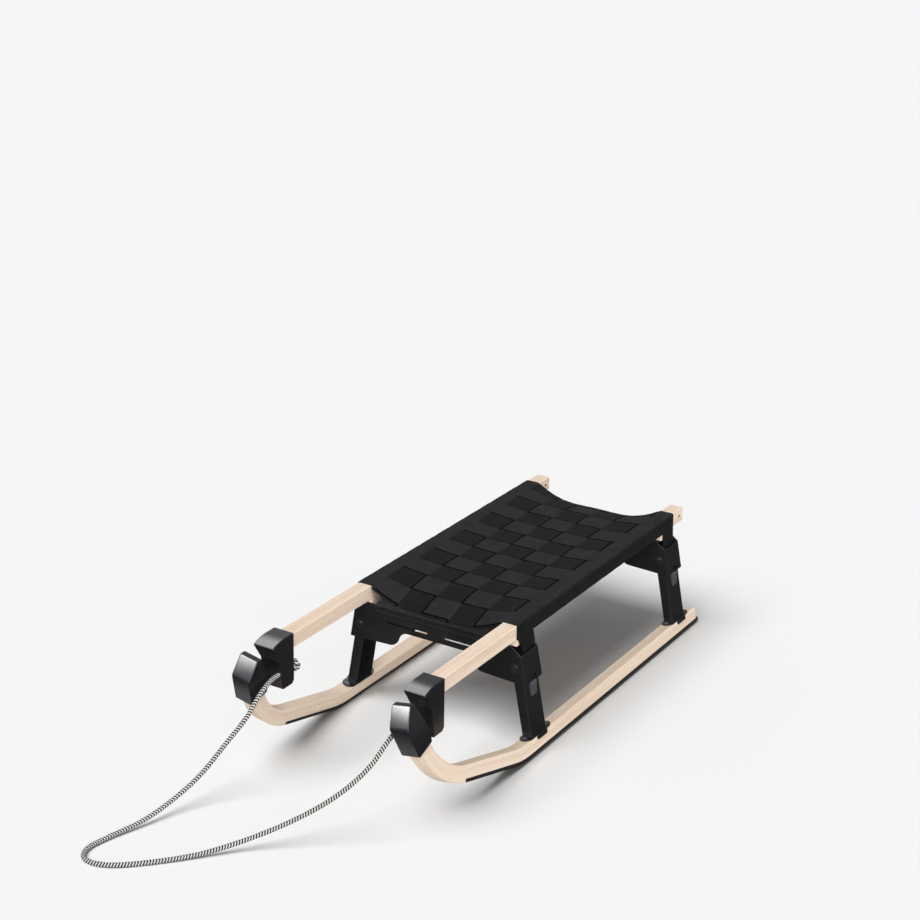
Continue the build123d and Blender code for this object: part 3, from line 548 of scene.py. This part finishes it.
def braided_tube(name, line, radius, closed=False):
    """A tube along a line, with a UV map: U round it, V along it in braid pitches."""
    count = len(line)
    side_way = Vector((0, 0, 1))
    verts, along = [], 0.0
    distance = [0.0]
    for index, place in enumerate(line):
        before = line[index - 1] if index or closed else place
        after = line[(index + 1) % count] if index < count - 1 or closed else place
        ahead = (after - before).normalized()
        side_way = (side_way - ahead * side_way.dot(ahead)).normalized()
        other = ahead.cross(side_way)
        if index:
            along += (place - line[index - 1]).length
            distance.append(along)
        for k in range(BRAID_SIDES):
            turn = k / BRAID_SIDES
            zigzag = abs((turn * 2) % 1 - 0.5) * BRAID_LEAN
            strand = math.sin(2 * math.pi * (2 * along / BRAID_PITCH + 2 * zigzag))
            angle = 2 * math.pi * turn
            spoke = side_way * math.cos(angle) + other * math.sin(angle)
            verts.append(place + spoke * radius * (1 + BRAID_SWELL * strand))
    faces, uvs = [], []
    for index in range(count if closed else count - 1):
        nxt = (index + 1) % count
        v0 = distance[index] / BRAID_PITCH
        v1 = (distance[nxt] if nxt else along + (line[0] - line[-1]).length) / BRAID_PITCH
        for k in range(BRAID_SIDES):
            j = (k + 1) % BRAID_SIDES
            faces.append((index * BRAID_SIDES + k, index * BRAID_SIDES + j,
                          nxt * BRAID_SIDES + j, nxt * BRAID_SIDES + k))
            u0, u1 = k / BRAID_SIDES, (k + 1) / BRAID_SIDES
            uvs += [(u0, v0), (u1, v0), (u1, v1), (u0, v1)]
    if not closed:
        faces.append(tuple(reversed(range(BRAID_SIDES))))
        faces.append(tuple(range((count - 1) * BRAID_SIDES, count * BRAID_SIDES)))
        uvs += [END_UV] * (2 * BRAID_SIDES)
    mesh = bpy.data.meshes.new(name)
    mesh.from_pydata(verts, [], faces)
    layer = mesh.uv_layers.new(name="braid")
    for loop, uv in zip(layer.data, uvs):
        loop.uv = uv
    for polygon in mesh.polygons:
        polygon.use_smooth = len(polygon.vertices) == 4
    piece = bpy.data.objects.new(name, mesh)
    bpy.context.collection.objects.link(piece)
    return piece


print("braid of", BRAID_SIDES, "sides, pitch", BRAID_PITCH, "m")

# %% Braid material
# Black and white polyester yarns, braided so that they show as chevrons 4.9 mm apart along the
# cord. Yarn scatters light, so the cord is matt.
braid, braid_surface = start_material("braided_polyester_cord", roughness=0.75, specular=0.25)
braid_uv = add(braid, "ShaderNodeUVMap", uv_map="braid")
split = add(braid, "ShaderNodeSeparateXYZ", [("Vector", braid_uv.outputs["UV"])])
twice = add(braid, "ShaderNodeMath", [(0, split.outputs["X"]), (1, 2.0)], operation="MULTIPLY")
part_turn = add(braid, "ShaderNodeMath", [(0, twice.outputs[0])], operation="FRACT")
from_middle = add(braid, "ShaderNodeMath",
                  [(0, part_turn.outputs[0]), (1, 0.5)], operation="SUBTRACT")
slope = add(braid, "ShaderNodeMath", [(0, from_middle.outputs[0])], operation="ABSOLUTE")
lean = add(braid, "ShaderNodeMath", [(0, slope.outputs[0]), (1, BRAID_LEAN)], operation="MULTIPLY")
phase = add(braid, "ShaderNodeMath",
            [(0, split.outputs["Y"]), (1, lean.outputs[0])], operation="ADD")
whole = add(braid, "ShaderNodeMath",
            [(0, phase.outputs[0]), (1, 2 * math.pi)], operation="MULTIPLY")
wave = add(braid, "ShaderNodeMath", [(0, whole.outputs[0])], operation="SINE").outputs[0]
band = add(braid, "ShaderNodeMapRange",
           [("Value", wave), ("From Min", -0.05), ("From Max", 0.40)])
add(braid, "ShaderNodeValToRGB", [("Fac", band.outputs["Result"])],
    into=braid_surface["Base Color"], stops=[(0.0, "#0E0E0F"), (1.0, "#D2D1CE")])
add(braid, "ShaderNodeBump", [("Height", wave), ("Strength", 0.25), ("Distance", 0.0005)],
    into=braid_surface["Normal"])
print("made", braid.name)

# %% Rope and knots
# Each knot is a closed trefoil, the simplest knot that a rope's end can be pulled into.
KNOT_POINTS, KNOT_BACK, KNOT_DEPTH = 30, 0.0086, 0.0046
KNOT_R, KNOT_WAVE, KNOT_STRAND_R, KNOT_STEP = 0.0052, 0.0030, 0.0037, 0.0014
rope = braided_tube("tow_rope_braid", rope_line, ROPE_D / 2)
rope.data.materials.append(braid)
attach(rope, "frame")
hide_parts("tow_rope")

for side, sign in (("left", 1), ("right", -1)):
    loops = []
    for step in range(KNOT_POINTS):
        t = 2 * math.pi * step / KNOT_POINTS
        ring = KNOT_R + KNOT_WAVE * math.cos(3 * t)
        loops.append((KNOT_X - KNOT_BACK + KNOT_DEPTH * math.sin(3 * t),
                      sign * ROPE_Y + sign * ring * math.cos(2 * t),
                      ROPE_Z + ring * math.sin(2 * t)))
    line = even_steps(smooth_points("knot_route", loops, resolution=12, cyclic=True), KNOT_STEP)
    knot = braided_tube(f"tow_knot_tied_{side}", line[:-1], KNOT_STRAND_R, closed=True)
    knot.data.materials.append(braid)
    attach(knot, "frame")
    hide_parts(f"tow_knot_{side}")

# %% [markdown]
# ## Woven seat
#
# The seat is a basket weave of black polyester webbing, about 53 mm wide. Straps across the
# sled pass over and under straps along it, then wrap each rail and end in a stitched hem on its
# outer face. The mat is taut between the rails, and dips to the crossbars at its two ends. A
# check pattern on one sheet would be quicker, but its squares would lie flat. So every strap is a
# thin strip that follows this shape and rises or dips where it crosses another, because the steps
# between them are what the eye reads as a weave.

# %% Shape of the seat
SEAT_REAR, SEAT_FRONT = -0.4565, 0.1505
RAIL_TOP, RAIL_HALF_SPAN, RAIL_W, RAIL_BOTTOM = 0.247, 0.170, 0.028, 0.219
SEAT_END_SAG, SEAT_MID_SAG, SEAT_DIP_L, SEAT_FLAT = 0.029, 0.006, 0.110, 0.050
WEB_OFF = 0.0019
WRAP_OFF, WRAP_ROUND = 0.0017, 0.004
HEM_UP, RAIL_LAP, RIM_IN = 0.001, 0.0003, 0.003
HEM_Z = RAIL_BOTTOM + HEM_UP
INNER_Y = RAIL_HALF_SPAN - RAIL_W + RAIL_LAP
RIM_Y = INNER_Y - RIM_IN
wrap_top, wrap_side = RAIL_TOP + WRAP_OFF, RAIL_HALF_SPAN + WRAP_OFF


def seat_place(x, y):
    """Place on the mat between the rails, and its upward normal across the sled."""
    share = max(0.0, 1 - min(x - SEAT_REAR, SEAT_FRONT - x) / SEAT_DIP_L)
    sag = SEAT_MID_SAG + (SEAT_END_SAG - SEAT_MID_SAG) * min(share, 1.0) ** 2
    span = INNER_Y - SEAT_FLAT
    radius = (span ** 2 + sag ** 2) / (2 * sag)
    reach = max(abs(y) - SEAT_FLAT, 0.0)
    tilt = math.asin(reach / radius)
    z = RAIL_TOP + WEB_OFF - sag + radius * (1 - math.cos(tilt))
    side = 1 if y >= 0 else -1
    return Vector((x, y, z)), Vector((0, -side * math.sin(tilt), math.cos(tilt)))


print("the mat dips by", SEAT_MID_SAG, "m in the middle and", SEAT_END_SAG, "m at its ends")

# %% Seat from the middle to a hem
WEAVE_STEPS, BEND_STEPS, TOP_STEPS, ROUND_STEPS, SIDE_STEPS = 48, 5, 4, 6, 4


def half_section(x):
    """Half of the seat at x as (y, z) points: the mat, its bend over the rail's edge, the wrap."""
    line = []
    for n in range(WEAVE_STEPS + 1):
        place, normal = seat_place(x, RIM_Y * n / WEAVE_STEPS)
        line.append(Vector((place.y, place.z)))
    rim, slope = line[-1], -normal.y / normal.z
    knee = Vector((rim.x + (wrap_top - rim.y) / slope, wrap_top))
    landing = Vector((knee.x + (knee - rim).length, wrap_top))
    for n in range(1, BEND_STEPS + 1):
        t = n / BEND_STEPS
        line.append(rim * (1 - t) ** 2 + knee * 2 * t * (1 - t) + landing * t ** 2)
    corner = Vector((wrap_side - WRAP_ROUND, wrap_top - WRAP_ROUND))
    top_end, side_start = Vector((corner.x, wrap_top)), Vector((wrap_side, corner.y))
    line += [landing.lerp(top_end, n / TOP_STEPS) for n in range(1, TOP_STEPS + 1)]
    for n in range(1, ROUND_STEPS + 1):
        angle = math.radians(90 - 90 * n / ROUND_STEPS)
        line.append(corner + WRAP_ROUND * Vector((math.cos(angle), math.sin(angle))))
    hem = Vector((wrap_side, HEM_Z))
    return line + [side_start.lerp(hem, n / SIDE_STEPS) for n in range(1, SIDE_STEPS + 1)]


half_wrap = line_length(half_section((SEAT_REAR + SEAT_FRONT) / 2))
print("a strap goes", round(2 * half_wrap, 3), "m from hem to hem")

# %% Rows and columns
ROW_PITCH, COLUMN_PITCH = 0.0524, 0.0555
ROWS, FRONT_ROW = 12, 0.0462
inner_edges = [SEAT_FRONT - FRONT_ROW - ROW_PITCH * k for k in range(ROWS - 2, -1, -1)]
row_edges = [SEAT_REAR] + inner_edges + [SEAT_FRONT]
column_edges = [COLUMN_PITCH * k for k in (-2.5, -1.5, -0.5, 0.5, 1.5, 2.5)]
print("rows", len(row_edges) - 1, "columns", len(column_edges) - 1)

# %% Straps of the weave
WEAVE_RISE, WEAVE_TURN = 0.0009, 0.010
WEB_T, STRAP_GAP, STRAP_CROWN = 0.0013, 0.0006, 0.0004
SMOOTH_BELOW = math.radians(40)


def over_under(place, edges, first_up):
    """Height factor from -1 to 1 along a strap that passes over and under at these edges."""
    value = 1.0 if first_up else -1.0
    for k, edge in enumerate(edges[1:-1]):
        step = min(max((place - edge) / WEAVE_TURN + 0.5, 0.0), 1.0)
        end = -2.0 if (k % 2 == 0) == first_up else 2.0
        value += end * step * step * (3 - 2 * step)
    return value


def edge_drop(share):
    """How much lower a strap lies towards its edges, at a share of its width."""
    return STRAP_CROWN * (2 * share - 1) ** 4


def strip_mesh(name, strips, material):
    """One mesh of several strips. Each strip is rows of (place, u, v) across its width."""
    verts, faces, uvs = [], [], []
    for rows in strips:
        start, wide = len(verts), len(rows[0])
        for row in rows:
            verts += [place for place, _, _ in row]
        for i in range(len(rows) - 1):
            for j in range(wide - 1):
                corners = [(i, j), (i, j + 1), (i + 1, j + 1), (i + 1, j)]
                faces.append([start + r * wide + c for r, c in corners])
                uvs += [rows[r][c][1:] for r, c in corners]
    mesh = bpy.data.meshes.new(name)
    mesh.from_pydata(verts, [], faces)
    layer = mesh.uv_layers.new(name="web")
    for loop, uv in zip(layer.data, uvs):
        loop.uv = uv
    piece = bpy.data.objects.new(name, mesh)
    bpy.context.collection.objects.link(piece)
    piece.data.materials.append(material)
    return piece


def thicken(piece, thickness):
    """Gives a strip its thickness and rounds its shading."""
    bpy.ops.object.select_all(action="DESELECT")
    bpy.context.view_layer.objects.active = piece
    piece.select_set(True)
    solid = piece.modifiers.new("thickness", "SOLIDIFY")
    solid.thickness = thickness
    solid.offset = 0.0
    bpy.ops.object.modifier_apply(modifier=solid.name)
    bpy.ops.object.shade_smooth_by_angle(angle=SMOOTH_BELOW)


print("straps", WEB_T, "m thick rise and dip by", WEAVE_RISE, "m")

# %% Webbing material
# Woven polyester, matt black. Its ribs run across the strap, drawn 2 mm apart so that they show,
# and patches of 22 mm vary its tone. Painted shade makes a dark line without shine along one
# edge of each strap, where that edge turns down under the next strap, and painted shade darkens
# the hems on the rails' outer faces.
RIB, RIB_LEAN = 0.0021, 80.0
# Width of the painted shade line along one edge, as a share of the strap's width.
EDGE_SHADE_WIDE = 0.015
# Painted shade on a hem grows between these two places along a strap across.
HEM_SHADE_FROM, HEM_SHADE_TO = 0.168, 0.176


def make_webbing(name, low, high, edge_shade_from, woven_to, hem_shade):
    """Webbing. Its UV map has metres along the strap and the share of its width."""
    material, surface = start_material(name, roughness=0.75, specular=0.2)
    uv = add(material, "ShaderNodeUVMap", uv_map="web")
    cut = add(material, "ShaderNodeSeparateXYZ", [("Vector", uv.outputs["UV"])])
    along = add(material, "ShaderNodeMath",
                [(0, cut.outputs["X"]), (1, 2 * math.pi / RIB)], operation="MULTIPLY")
    across = add(material, "ShaderNodeMath",
                 [(0, cut.outputs["Y"]), (1, RIB_LEAN)], operation="MULTIPLY")
    both = add(material, "ShaderNodeMath",
               [(0, along.outputs[0]), (1, across.outputs[0])], operation="ADD")
    ribs = add(material, "ShaderNodeMath", [(0, both.outputs[0])], operation="SINE")
    place = add(material, "ShaderNodeTexCoord").outputs["Object"]
    cloudy = add(material, "ShaderNodeTexNoise",
                 [("Vector", place), ("Scale", 45.0), ("Detail", 3.0)])
    tone = add(material, "ShaderNodeValToRGB", [("Fac", cloudy.outputs["Fac"])],
               stops=[(0.3, low), (0.7, high)])
    # Painted shade: a dark line along one edge of each strap, only inside the weave.
    edge = add(material, "ShaderNodeMapRange",
               [("Value", cut.outputs["Y"]), ("From Min", edge_shade_from),
                ("From Max", edge_shade_from + EDGE_SHADE_WIDE), ("To Max", 0.9)])
    out = add(material, "ShaderNodeMath", [(0, cut.outputs["X"])], operation="ABSOLUTE")
    inside = add(material, "ShaderNodeMath",
                 [(0, out.outputs[0]), (1, woven_to)], operation="LESS_THAN")
    shade = add(material, "ShaderNodeMath",
                [(0, edge.outputs["Result"]), (1, inside.outputs[0])], operation="MULTIPLY")
    edge_shaded = add(material, "ShaderNodeMix",
                [(MIX_SHARE, shade.outputs[0]), (MIX_COLOUR_A, tone.outputs["Color"]),
                 (MIX_COLOUR_B, linear("#030303"))], data_type="RGBA")
    # Painted shade darkens the hems.
    painted_hem_shade = add(material, "ShaderNodeMapRange",
                [("Value", out.outputs[0]), ("From Min", HEM_SHADE_FROM), ("From Max", HEM_SHADE_TO),
                 ("To Max", hem_shade)])
    add(material, "ShaderNodeMix",
        [(MIX_SHARE, painted_hem_shade.outputs["Result"]), (MIX_COLOUR_A, edge_shaded.outputs[MIX_COLOUR_OUT]),
         (MIX_COLOUR_B, linear("#060607"))],
        data_type="RGBA", into=surface["Base Color"], output=MIX_COLOUR_OUT)
    # The painted shade line also loses its shine.
    add(material, "ShaderNodeMapRange",
        [("Value", shade.outputs[0]), ("To Min", 0.2), ("To Max", 0.0)],
        into=surface["Specular IOR Level"])
    add(material, "ShaderNodeBump",
        [("Height", ribs.outputs[0]), ("Strength", 0.3), ("Distance", 0.0004)],
        into=surface["Normal"])
    surface["Sheen Weight"].default_value = 0.02
    surface["Sheen Roughness"].default_value = 0.4
    return material


# Painted sheen: the straps across are painted lighter than the straps along, because the same
# webbing catches the light differently along its threads.
web_across = make_webbing(
    "polyester_webbing_across", "#1D1D1E", "#262627", 0.945, column_edges[-1], 0.7)
web_along = make_webbing("polyester_webbing_along", "#0D0D0E", "#131314", 0.950, 1.0, 0.0)
print("made", web_across.name, "and", web_along.name)

# %% Straps across
# Past the weave, on the rail, a strap lies flat and close beside the next one.
WRAP_GAP, ACROSS_STEPS, FLATTEN_STEPS = 0.00015, 4, 3


def ease(value):
    """A smooth step from 0 to 1."""
    value = min(max(value, 0.0), 1.0)
    return value * value * (3 - 2 * value)


across_strips = []
for i, (rear, front) in enumerate(zip(row_edges, row_edges[1:])):
    sections = [half_section(rear + (front - rear) * c / ACROSS_STEPS)
                for c in range(ACROSS_STEPS + 1)]
    rows = []
    for n in range(1 - len(sections[0]), len(sections[0])):
        side, k = (1 if n >= 0 else -1), abs(n)
        woven = 1 - ease((k - WEAVE_STEPS + 1) / FLATTEN_STEPS)
        gap = WRAP_GAP + (STRAP_GAP - WRAP_GAP) * woven
        row = []
        for c, line in enumerate(sections):
            share = c / ACROSS_STEPS
            x = rear + gap + (front - rear - 2 * gap) * share
            way = (line[min(k + 1, len(line) - 1)] - line[max(k - 1, 0)]).normalized()
            if k == 0:
                way = Vector((1, 0))
            normal = Vector((0, -side * way.y, way.x))
            lift = woven * WEAVE_RISE * over_under(side * line[k].x, column_edges, i % 2 == 1)
            place = Vector((x, side * line[k].x, line[k].y))
            row.append((place + normal * (lift - edge_drop(share)),
                        side * (line[k].x + max(0.0, wrap_top - line[k].y)), share))
        rows.append(row)
    across_strips.append(rows)
print("straps across:", len(across_strips))

# %% Corner tabs
# Below the hem, a tab at each corner of the seat reaches down to a crossbar's shell.
TAB_FOOT, TAB_BULGE = 0.185, 0.0006
TAB_STEPS, TAB_WIDE_STEPS, TAB_UV = 8, 4, 0.5
tab_corners = (
    # rear and front at the hem, rear and front at the foot
    (SEAT_FRONT - 0.055, SEAT_FRONT - 0.004, SEAT_FRONT - 0.063, SEAT_FRONT - 0.020),
    (SEAT_REAR + 0.001, SEAT_REAR + 0.044, SEAT_REAR + 0.001, SEAT_REAR + 0.044),
)
for side in (1, -1):
    for rear, front, low_rear, low_front in tab_corners:
        rows = []
        for n in range(TAB_STEPS + 1):
            share = n / TAB_STEPS
            z = HEM_Z + (TAB_FOOT - HEM_Z) * share
            left, right = rear + (low_rear - rear) * share, front + (low_front - front) * share
            y = side * (wrap_side + TAB_BULGE * math.sin(math.pi * share))
            row = []
            for c in range(TAB_WIDE_STEPS + 1):
                x = left + (right - left) * c / TAB_WIDE_STEPS
                row.append((Vector((x, y, z)), TAB_UV + z, c / (2 * TAB_WIDE_STEPS)))
            rows.append(row)
        across_strips.append(rows)
straps_across = strip_mesh("seat_straps_across", across_strips, web_across)
thicken(straps_across, WEB_T)
print("straps across and tabs:", len(across_strips))

# %% Straps along
# Each end runs a little past the mat and bends down into its hem.
ALONG_STEPS, ALONG_WIDE_STEPS = 132, 6
END_PAST, HEM_BEND_L, HEM_BEND = 0.002, 0.004, 60
along_strips = []
for j, (left, right) in enumerate(zip(column_edges, column_edges[1:])):
    rows = []
    for n in range(ALONG_STEPS + 1):
        x = SEAT_REAR - END_PAST + (SEAT_FRONT - SEAT_REAR + 2 * END_PAST) * n / ALONG_STEPS
        lift = WEAVE_RISE * over_under(x, row_edges, j % 2 == 0)
        hem = max(SEAT_REAR + HEM_BEND_L - x, x - SEAT_FRONT + HEM_BEND_L, 0.0)
        lift -= HEM_BEND * hem * hem
        row = []
        for c in range(ALONG_WIDE_STEPS + 1):
            share = c / ALONG_WIDE_STEPS
            y = left + STRAP_GAP + (right - left - 2 * STRAP_GAP) * share
            place, normal = seat_place(x, y)
            row.append((place + normal * (lift - edge_drop(share)), x, share))
        rows.append(row)
    along_strips.append(rows)
straps_along = strip_mesh("seat_straps_along", along_strips, web_along)
thicken(straps_along, WEB_T)
print("straps along:", len(along_strips))

# %% Thread
# Twisted black polyester thread, a little greyer than the webbing, so that stitches show. Its
# twist is drawn 0.5 mm wide.
thread, thread_surface = start_material("polyester_thread", roughness=0.6, specular=0.3)
thread_place = add(thread, "ShaderNodeTexCoord").outputs["Object"]
twist = add(thread, "ShaderNodeTexNoise",
            [("Vector", thread_place), ("Scale", 2200.0), ("Detail", 1.0)])
add(thread, "ShaderNodeValToRGB", [("Fac", twist.outputs["Fac"])],
    into=thread_surface["Base Color"], stops=[(0.35, "#1E1E20"), (0.65, "#313133")])
print("made", thread.name)

# %% Hem stitches
# Rows of lock stitches, each 3 mm long, run along each hem and across each tab. A stitch is a low
# arch whose ends sink into the webbing.
STITCH_L, STITCH_W, STITCH_STEP, STITCH_RISE = 0.0030, 0.0007, 0.0046, 0.0003
STITCH_ARCH = ((0.0, -STITCH_RISE), (0.25, STITCH_RISE), (0.75, STITCH_RISE), (1.0, -STITCH_RISE))
stitch_rows = (
    # first x, last x, height
    (SEAT_REAR + 0.004, SEAT_FRONT - 0.004, HEM_Z + 0.0035),
    (SEAT_REAR + 0.004, SEAT_FRONT - 0.004, HEM_Z + 0.0085),
    (SEAT_FRONT - 0.057, SEAT_FRONT - 0.018, TAB_FOOT + 0.008),
    (SEAT_REAR + 0.005, SEAT_REAR + 0.040, TAB_FOOT + 0.008),
)
stitch_verts, stitch_faces = [], []
for side in (1, -1):
    for first_x, last_x, z in stitch_rows:
        face_y = wrap_side + WEB_T / 2 + (TAB_BULGE if z < HEM_Z else 0.0)
        for n in range(int((last_x - first_x) / STITCH_STEP)):
            x = first_x + STITCH_STEP * n
            start = len(stitch_verts)
            for along, out in STITCH_ARCH:
                for edge in (-0.5, 0.5):
                    stitch_verts.append((x + STITCH_L * along, side * (face_y + out),
                                         z + STITCH_W * edge))
            for corners in ((0, 1, 3, 2), (2, 3, 5, 4), (4, 5, 7, 6),
                            (0, 2, 4, 6), (7, 5, 3, 1), (0, 6, 7, 1)):
                face = [start + k for k in corners]
                stitch_faces.append(face if side < 0 else face[::-1])
stitch_mesh = bpy.data.meshes.new("seat_hem_stitches")
stitch_mesh.from_pydata(stitch_verts, [], stitch_faces)
stitches = bpy.data.objects.new("seat_hem_stitches", stitch_mesh)
bpy.context.collection.objects.link(stitches)
stitches.data.materials.append(thread)
print("stitches:", len(stitch_verts) // 8)

# %% What the seat's pieces are
for soft in (straps_across, straps_along, stitches):
    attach(soft, "frame")
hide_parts("seat_webbing")

# %% [markdown]
# ## Foot screws
#
# Each foot is held to its runner by two plated pan head screws with a six lobed socket. One is
# modelled from a short cylinder: its top face is inset and raised twice for the dome, and a star
# cut from the same ring of points sinks into the socket. The rest are copies of it.

# %% One screw
SCREW_R, SCREW_H, SCREW_SIDES = 0.0042, 0.0012, 24
DOME_RINGS = ((0.0008, 0.0006), (0.0010, 0.0002))  # inset and rise of each ring
SOCKET_SINK, SOCKET_NOTCH = 0.0012, 0.72
NEAR, FACES_UP = 0.0001, 0.9


def choose_faces(piece, test):
    """Selects the faces of the piece that pass a test, and goes to edit mode."""
    bpy.ops.object.mode_set(mode="EDIT")
    bpy.ops.mesh.select_mode(type="FACE")
    bpy.ops.mesh.select_all(action="DESELECT")
    bpy.ops.object.mode_set(mode="OBJECT")
    for face in piece.data.polygons:
        face.select = test(face)
    bpy.ops.object.mode_set(mode="EDIT")


def choose_points(piece, test):
    """Selects the points of the piece that pass a test, and goes to edit mode."""
    bpy.ops.object.mode_set(mode="EDIT")
    bpy.ops.mesh.select_mode(type="VERT")
    bpy.ops.mesh.select_all(action="DESELECT")
    bpy.ops.object.mode_set(mode="OBJECT")
    for point in piece.data.vertices:
        point.select = test(point)
    bpy.ops.object.mode_set(mode="EDIT")


bpy.ops.object.select_all(action="DESELECT")
bpy.ops.mesh.primitive_cylinder_add(vertices=SCREW_SIDES, radius=SCREW_R, depth=SCREW_H,
                                    location=(0, 0, SCREW_H / 2))
screw = bpy.context.object
screw.name = "foot_screw"
screw.data.materials.append(zinc)
bpy.ops.object.transform_apply(location=True, rotation=True, scale=True)
choose_faces(screw, lambda face: face.normal.z > FACES_UP)
socket_z = SCREW_H
for inset, rise in DOME_RINGS:
    bpy.ops.mesh.inset(thickness=inset)
    bpy.ops.transform.translate(value=(0, 0, rise))
    socket_z += rise
side_angle = 2 * math.pi / SCREW_SIDES
choose_points(screw, lambda point: point.co.z > socket_z - NEAR
              and round(math.atan2(point.co.y, point.co.x) / side_angle) % 4 < 2)
bpy.ops.transform.resize(value=(SOCKET_NOTCH, SOCKET_NOTCH, 1.0), center_override=(0, 0, socket_z))
choose_faces(screw, lambda face: face.normal.z > FACES_UP and len(face.vertices) == SCREW_SIDES
             and face.center.z > socket_z - NEAR)
bpy.ops.mesh.extrude_region_move(TRANSFORM_OT_translate={"value": (0, 0, -SOCKET_SINK)})
bpy.ops.object.mode_set(mode="OBJECT")
bpy.ops.object.shade_smooth_by_angle(angle=math.radians(35))
print("screw faces", len(screw.data.polygons))

# %% Copies on the feet
# Each screw stops at a turn of its own.
FOOT_OUT, FOOT_UP = 0.0024, -0.13233
SCREW_X = (0.1575, 0.087, -0.3995, -0.470)
FIRST_TURN, TURN_PER_METRE = 0.4, 30
foot_y = PIVOT_Y + FOOT_OUT * math.cos(SPLAY) - FOOT_UP * math.sin(SPLAY)
foot_z = PIVOT_Z + FOOT_OUT * math.sin(SPLAY) + FOOT_UP * math.cos(SPLAY)
for side_name, side in (("left", 1), ("right", -1)):
    bpy.ops.object.select_all(action="DESELECT")
    copies = []
    for x in SCREW_X:
        twin = screw.copy()
        twin.data = screw.data.copy()
        bpy.context.collection.objects.link(twin)
        twin.location = (x, side * foot_y, foot_z)
        twin.rotation_euler = (side * SPLAY, 0, FIRST_TURN + TURN_PER_METRE * x)
        twin.select_set(True)
        copies.append(twin)
    bpy.context.view_layer.objects.active = copies[0]
    bpy.ops.object.join()
    bpy.ops.object.transform_apply(location=True, rotation=True, scale=True)
    copies[0].name = f"foot_screws_{side_name}"
    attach(copies[0], f"runner_{side_name}")
bpy.data.objects.remove(screw)
print("four screws on each runner")

# %% [markdown]
# ## What each light reaches
#
# The lights were made for groups of pieces, and now that every piece is there, the groups can be
# filled. Names sort them, as the CAD nodes and the new pieces both start with what they are.

# %% Groups for the lights
RUNNER_PIECES = ("runner", "glide", "leg", "foot_screws", "latch", "nose_cap_lower", "nose_pin")
STEEL_PIECES = ("crossbar", "leg", "foot_screws", "pivot")
for piece in bpy.data.objects:
    if piece.type == "MESH" and piece != floor:
        (lit_runners if piece.name.startswith(RUNNER_PIECES) else lit_frame).objects.link(piece)
        if piece.name.startswith("nose_cap"):
            (lit_upper_caps if "upper" in piece.name else lit_lower_caps).objects.link(piece)
        if piece.name.startswith(STEEL_PIECES):
            lit_steel.objects.link(piece)
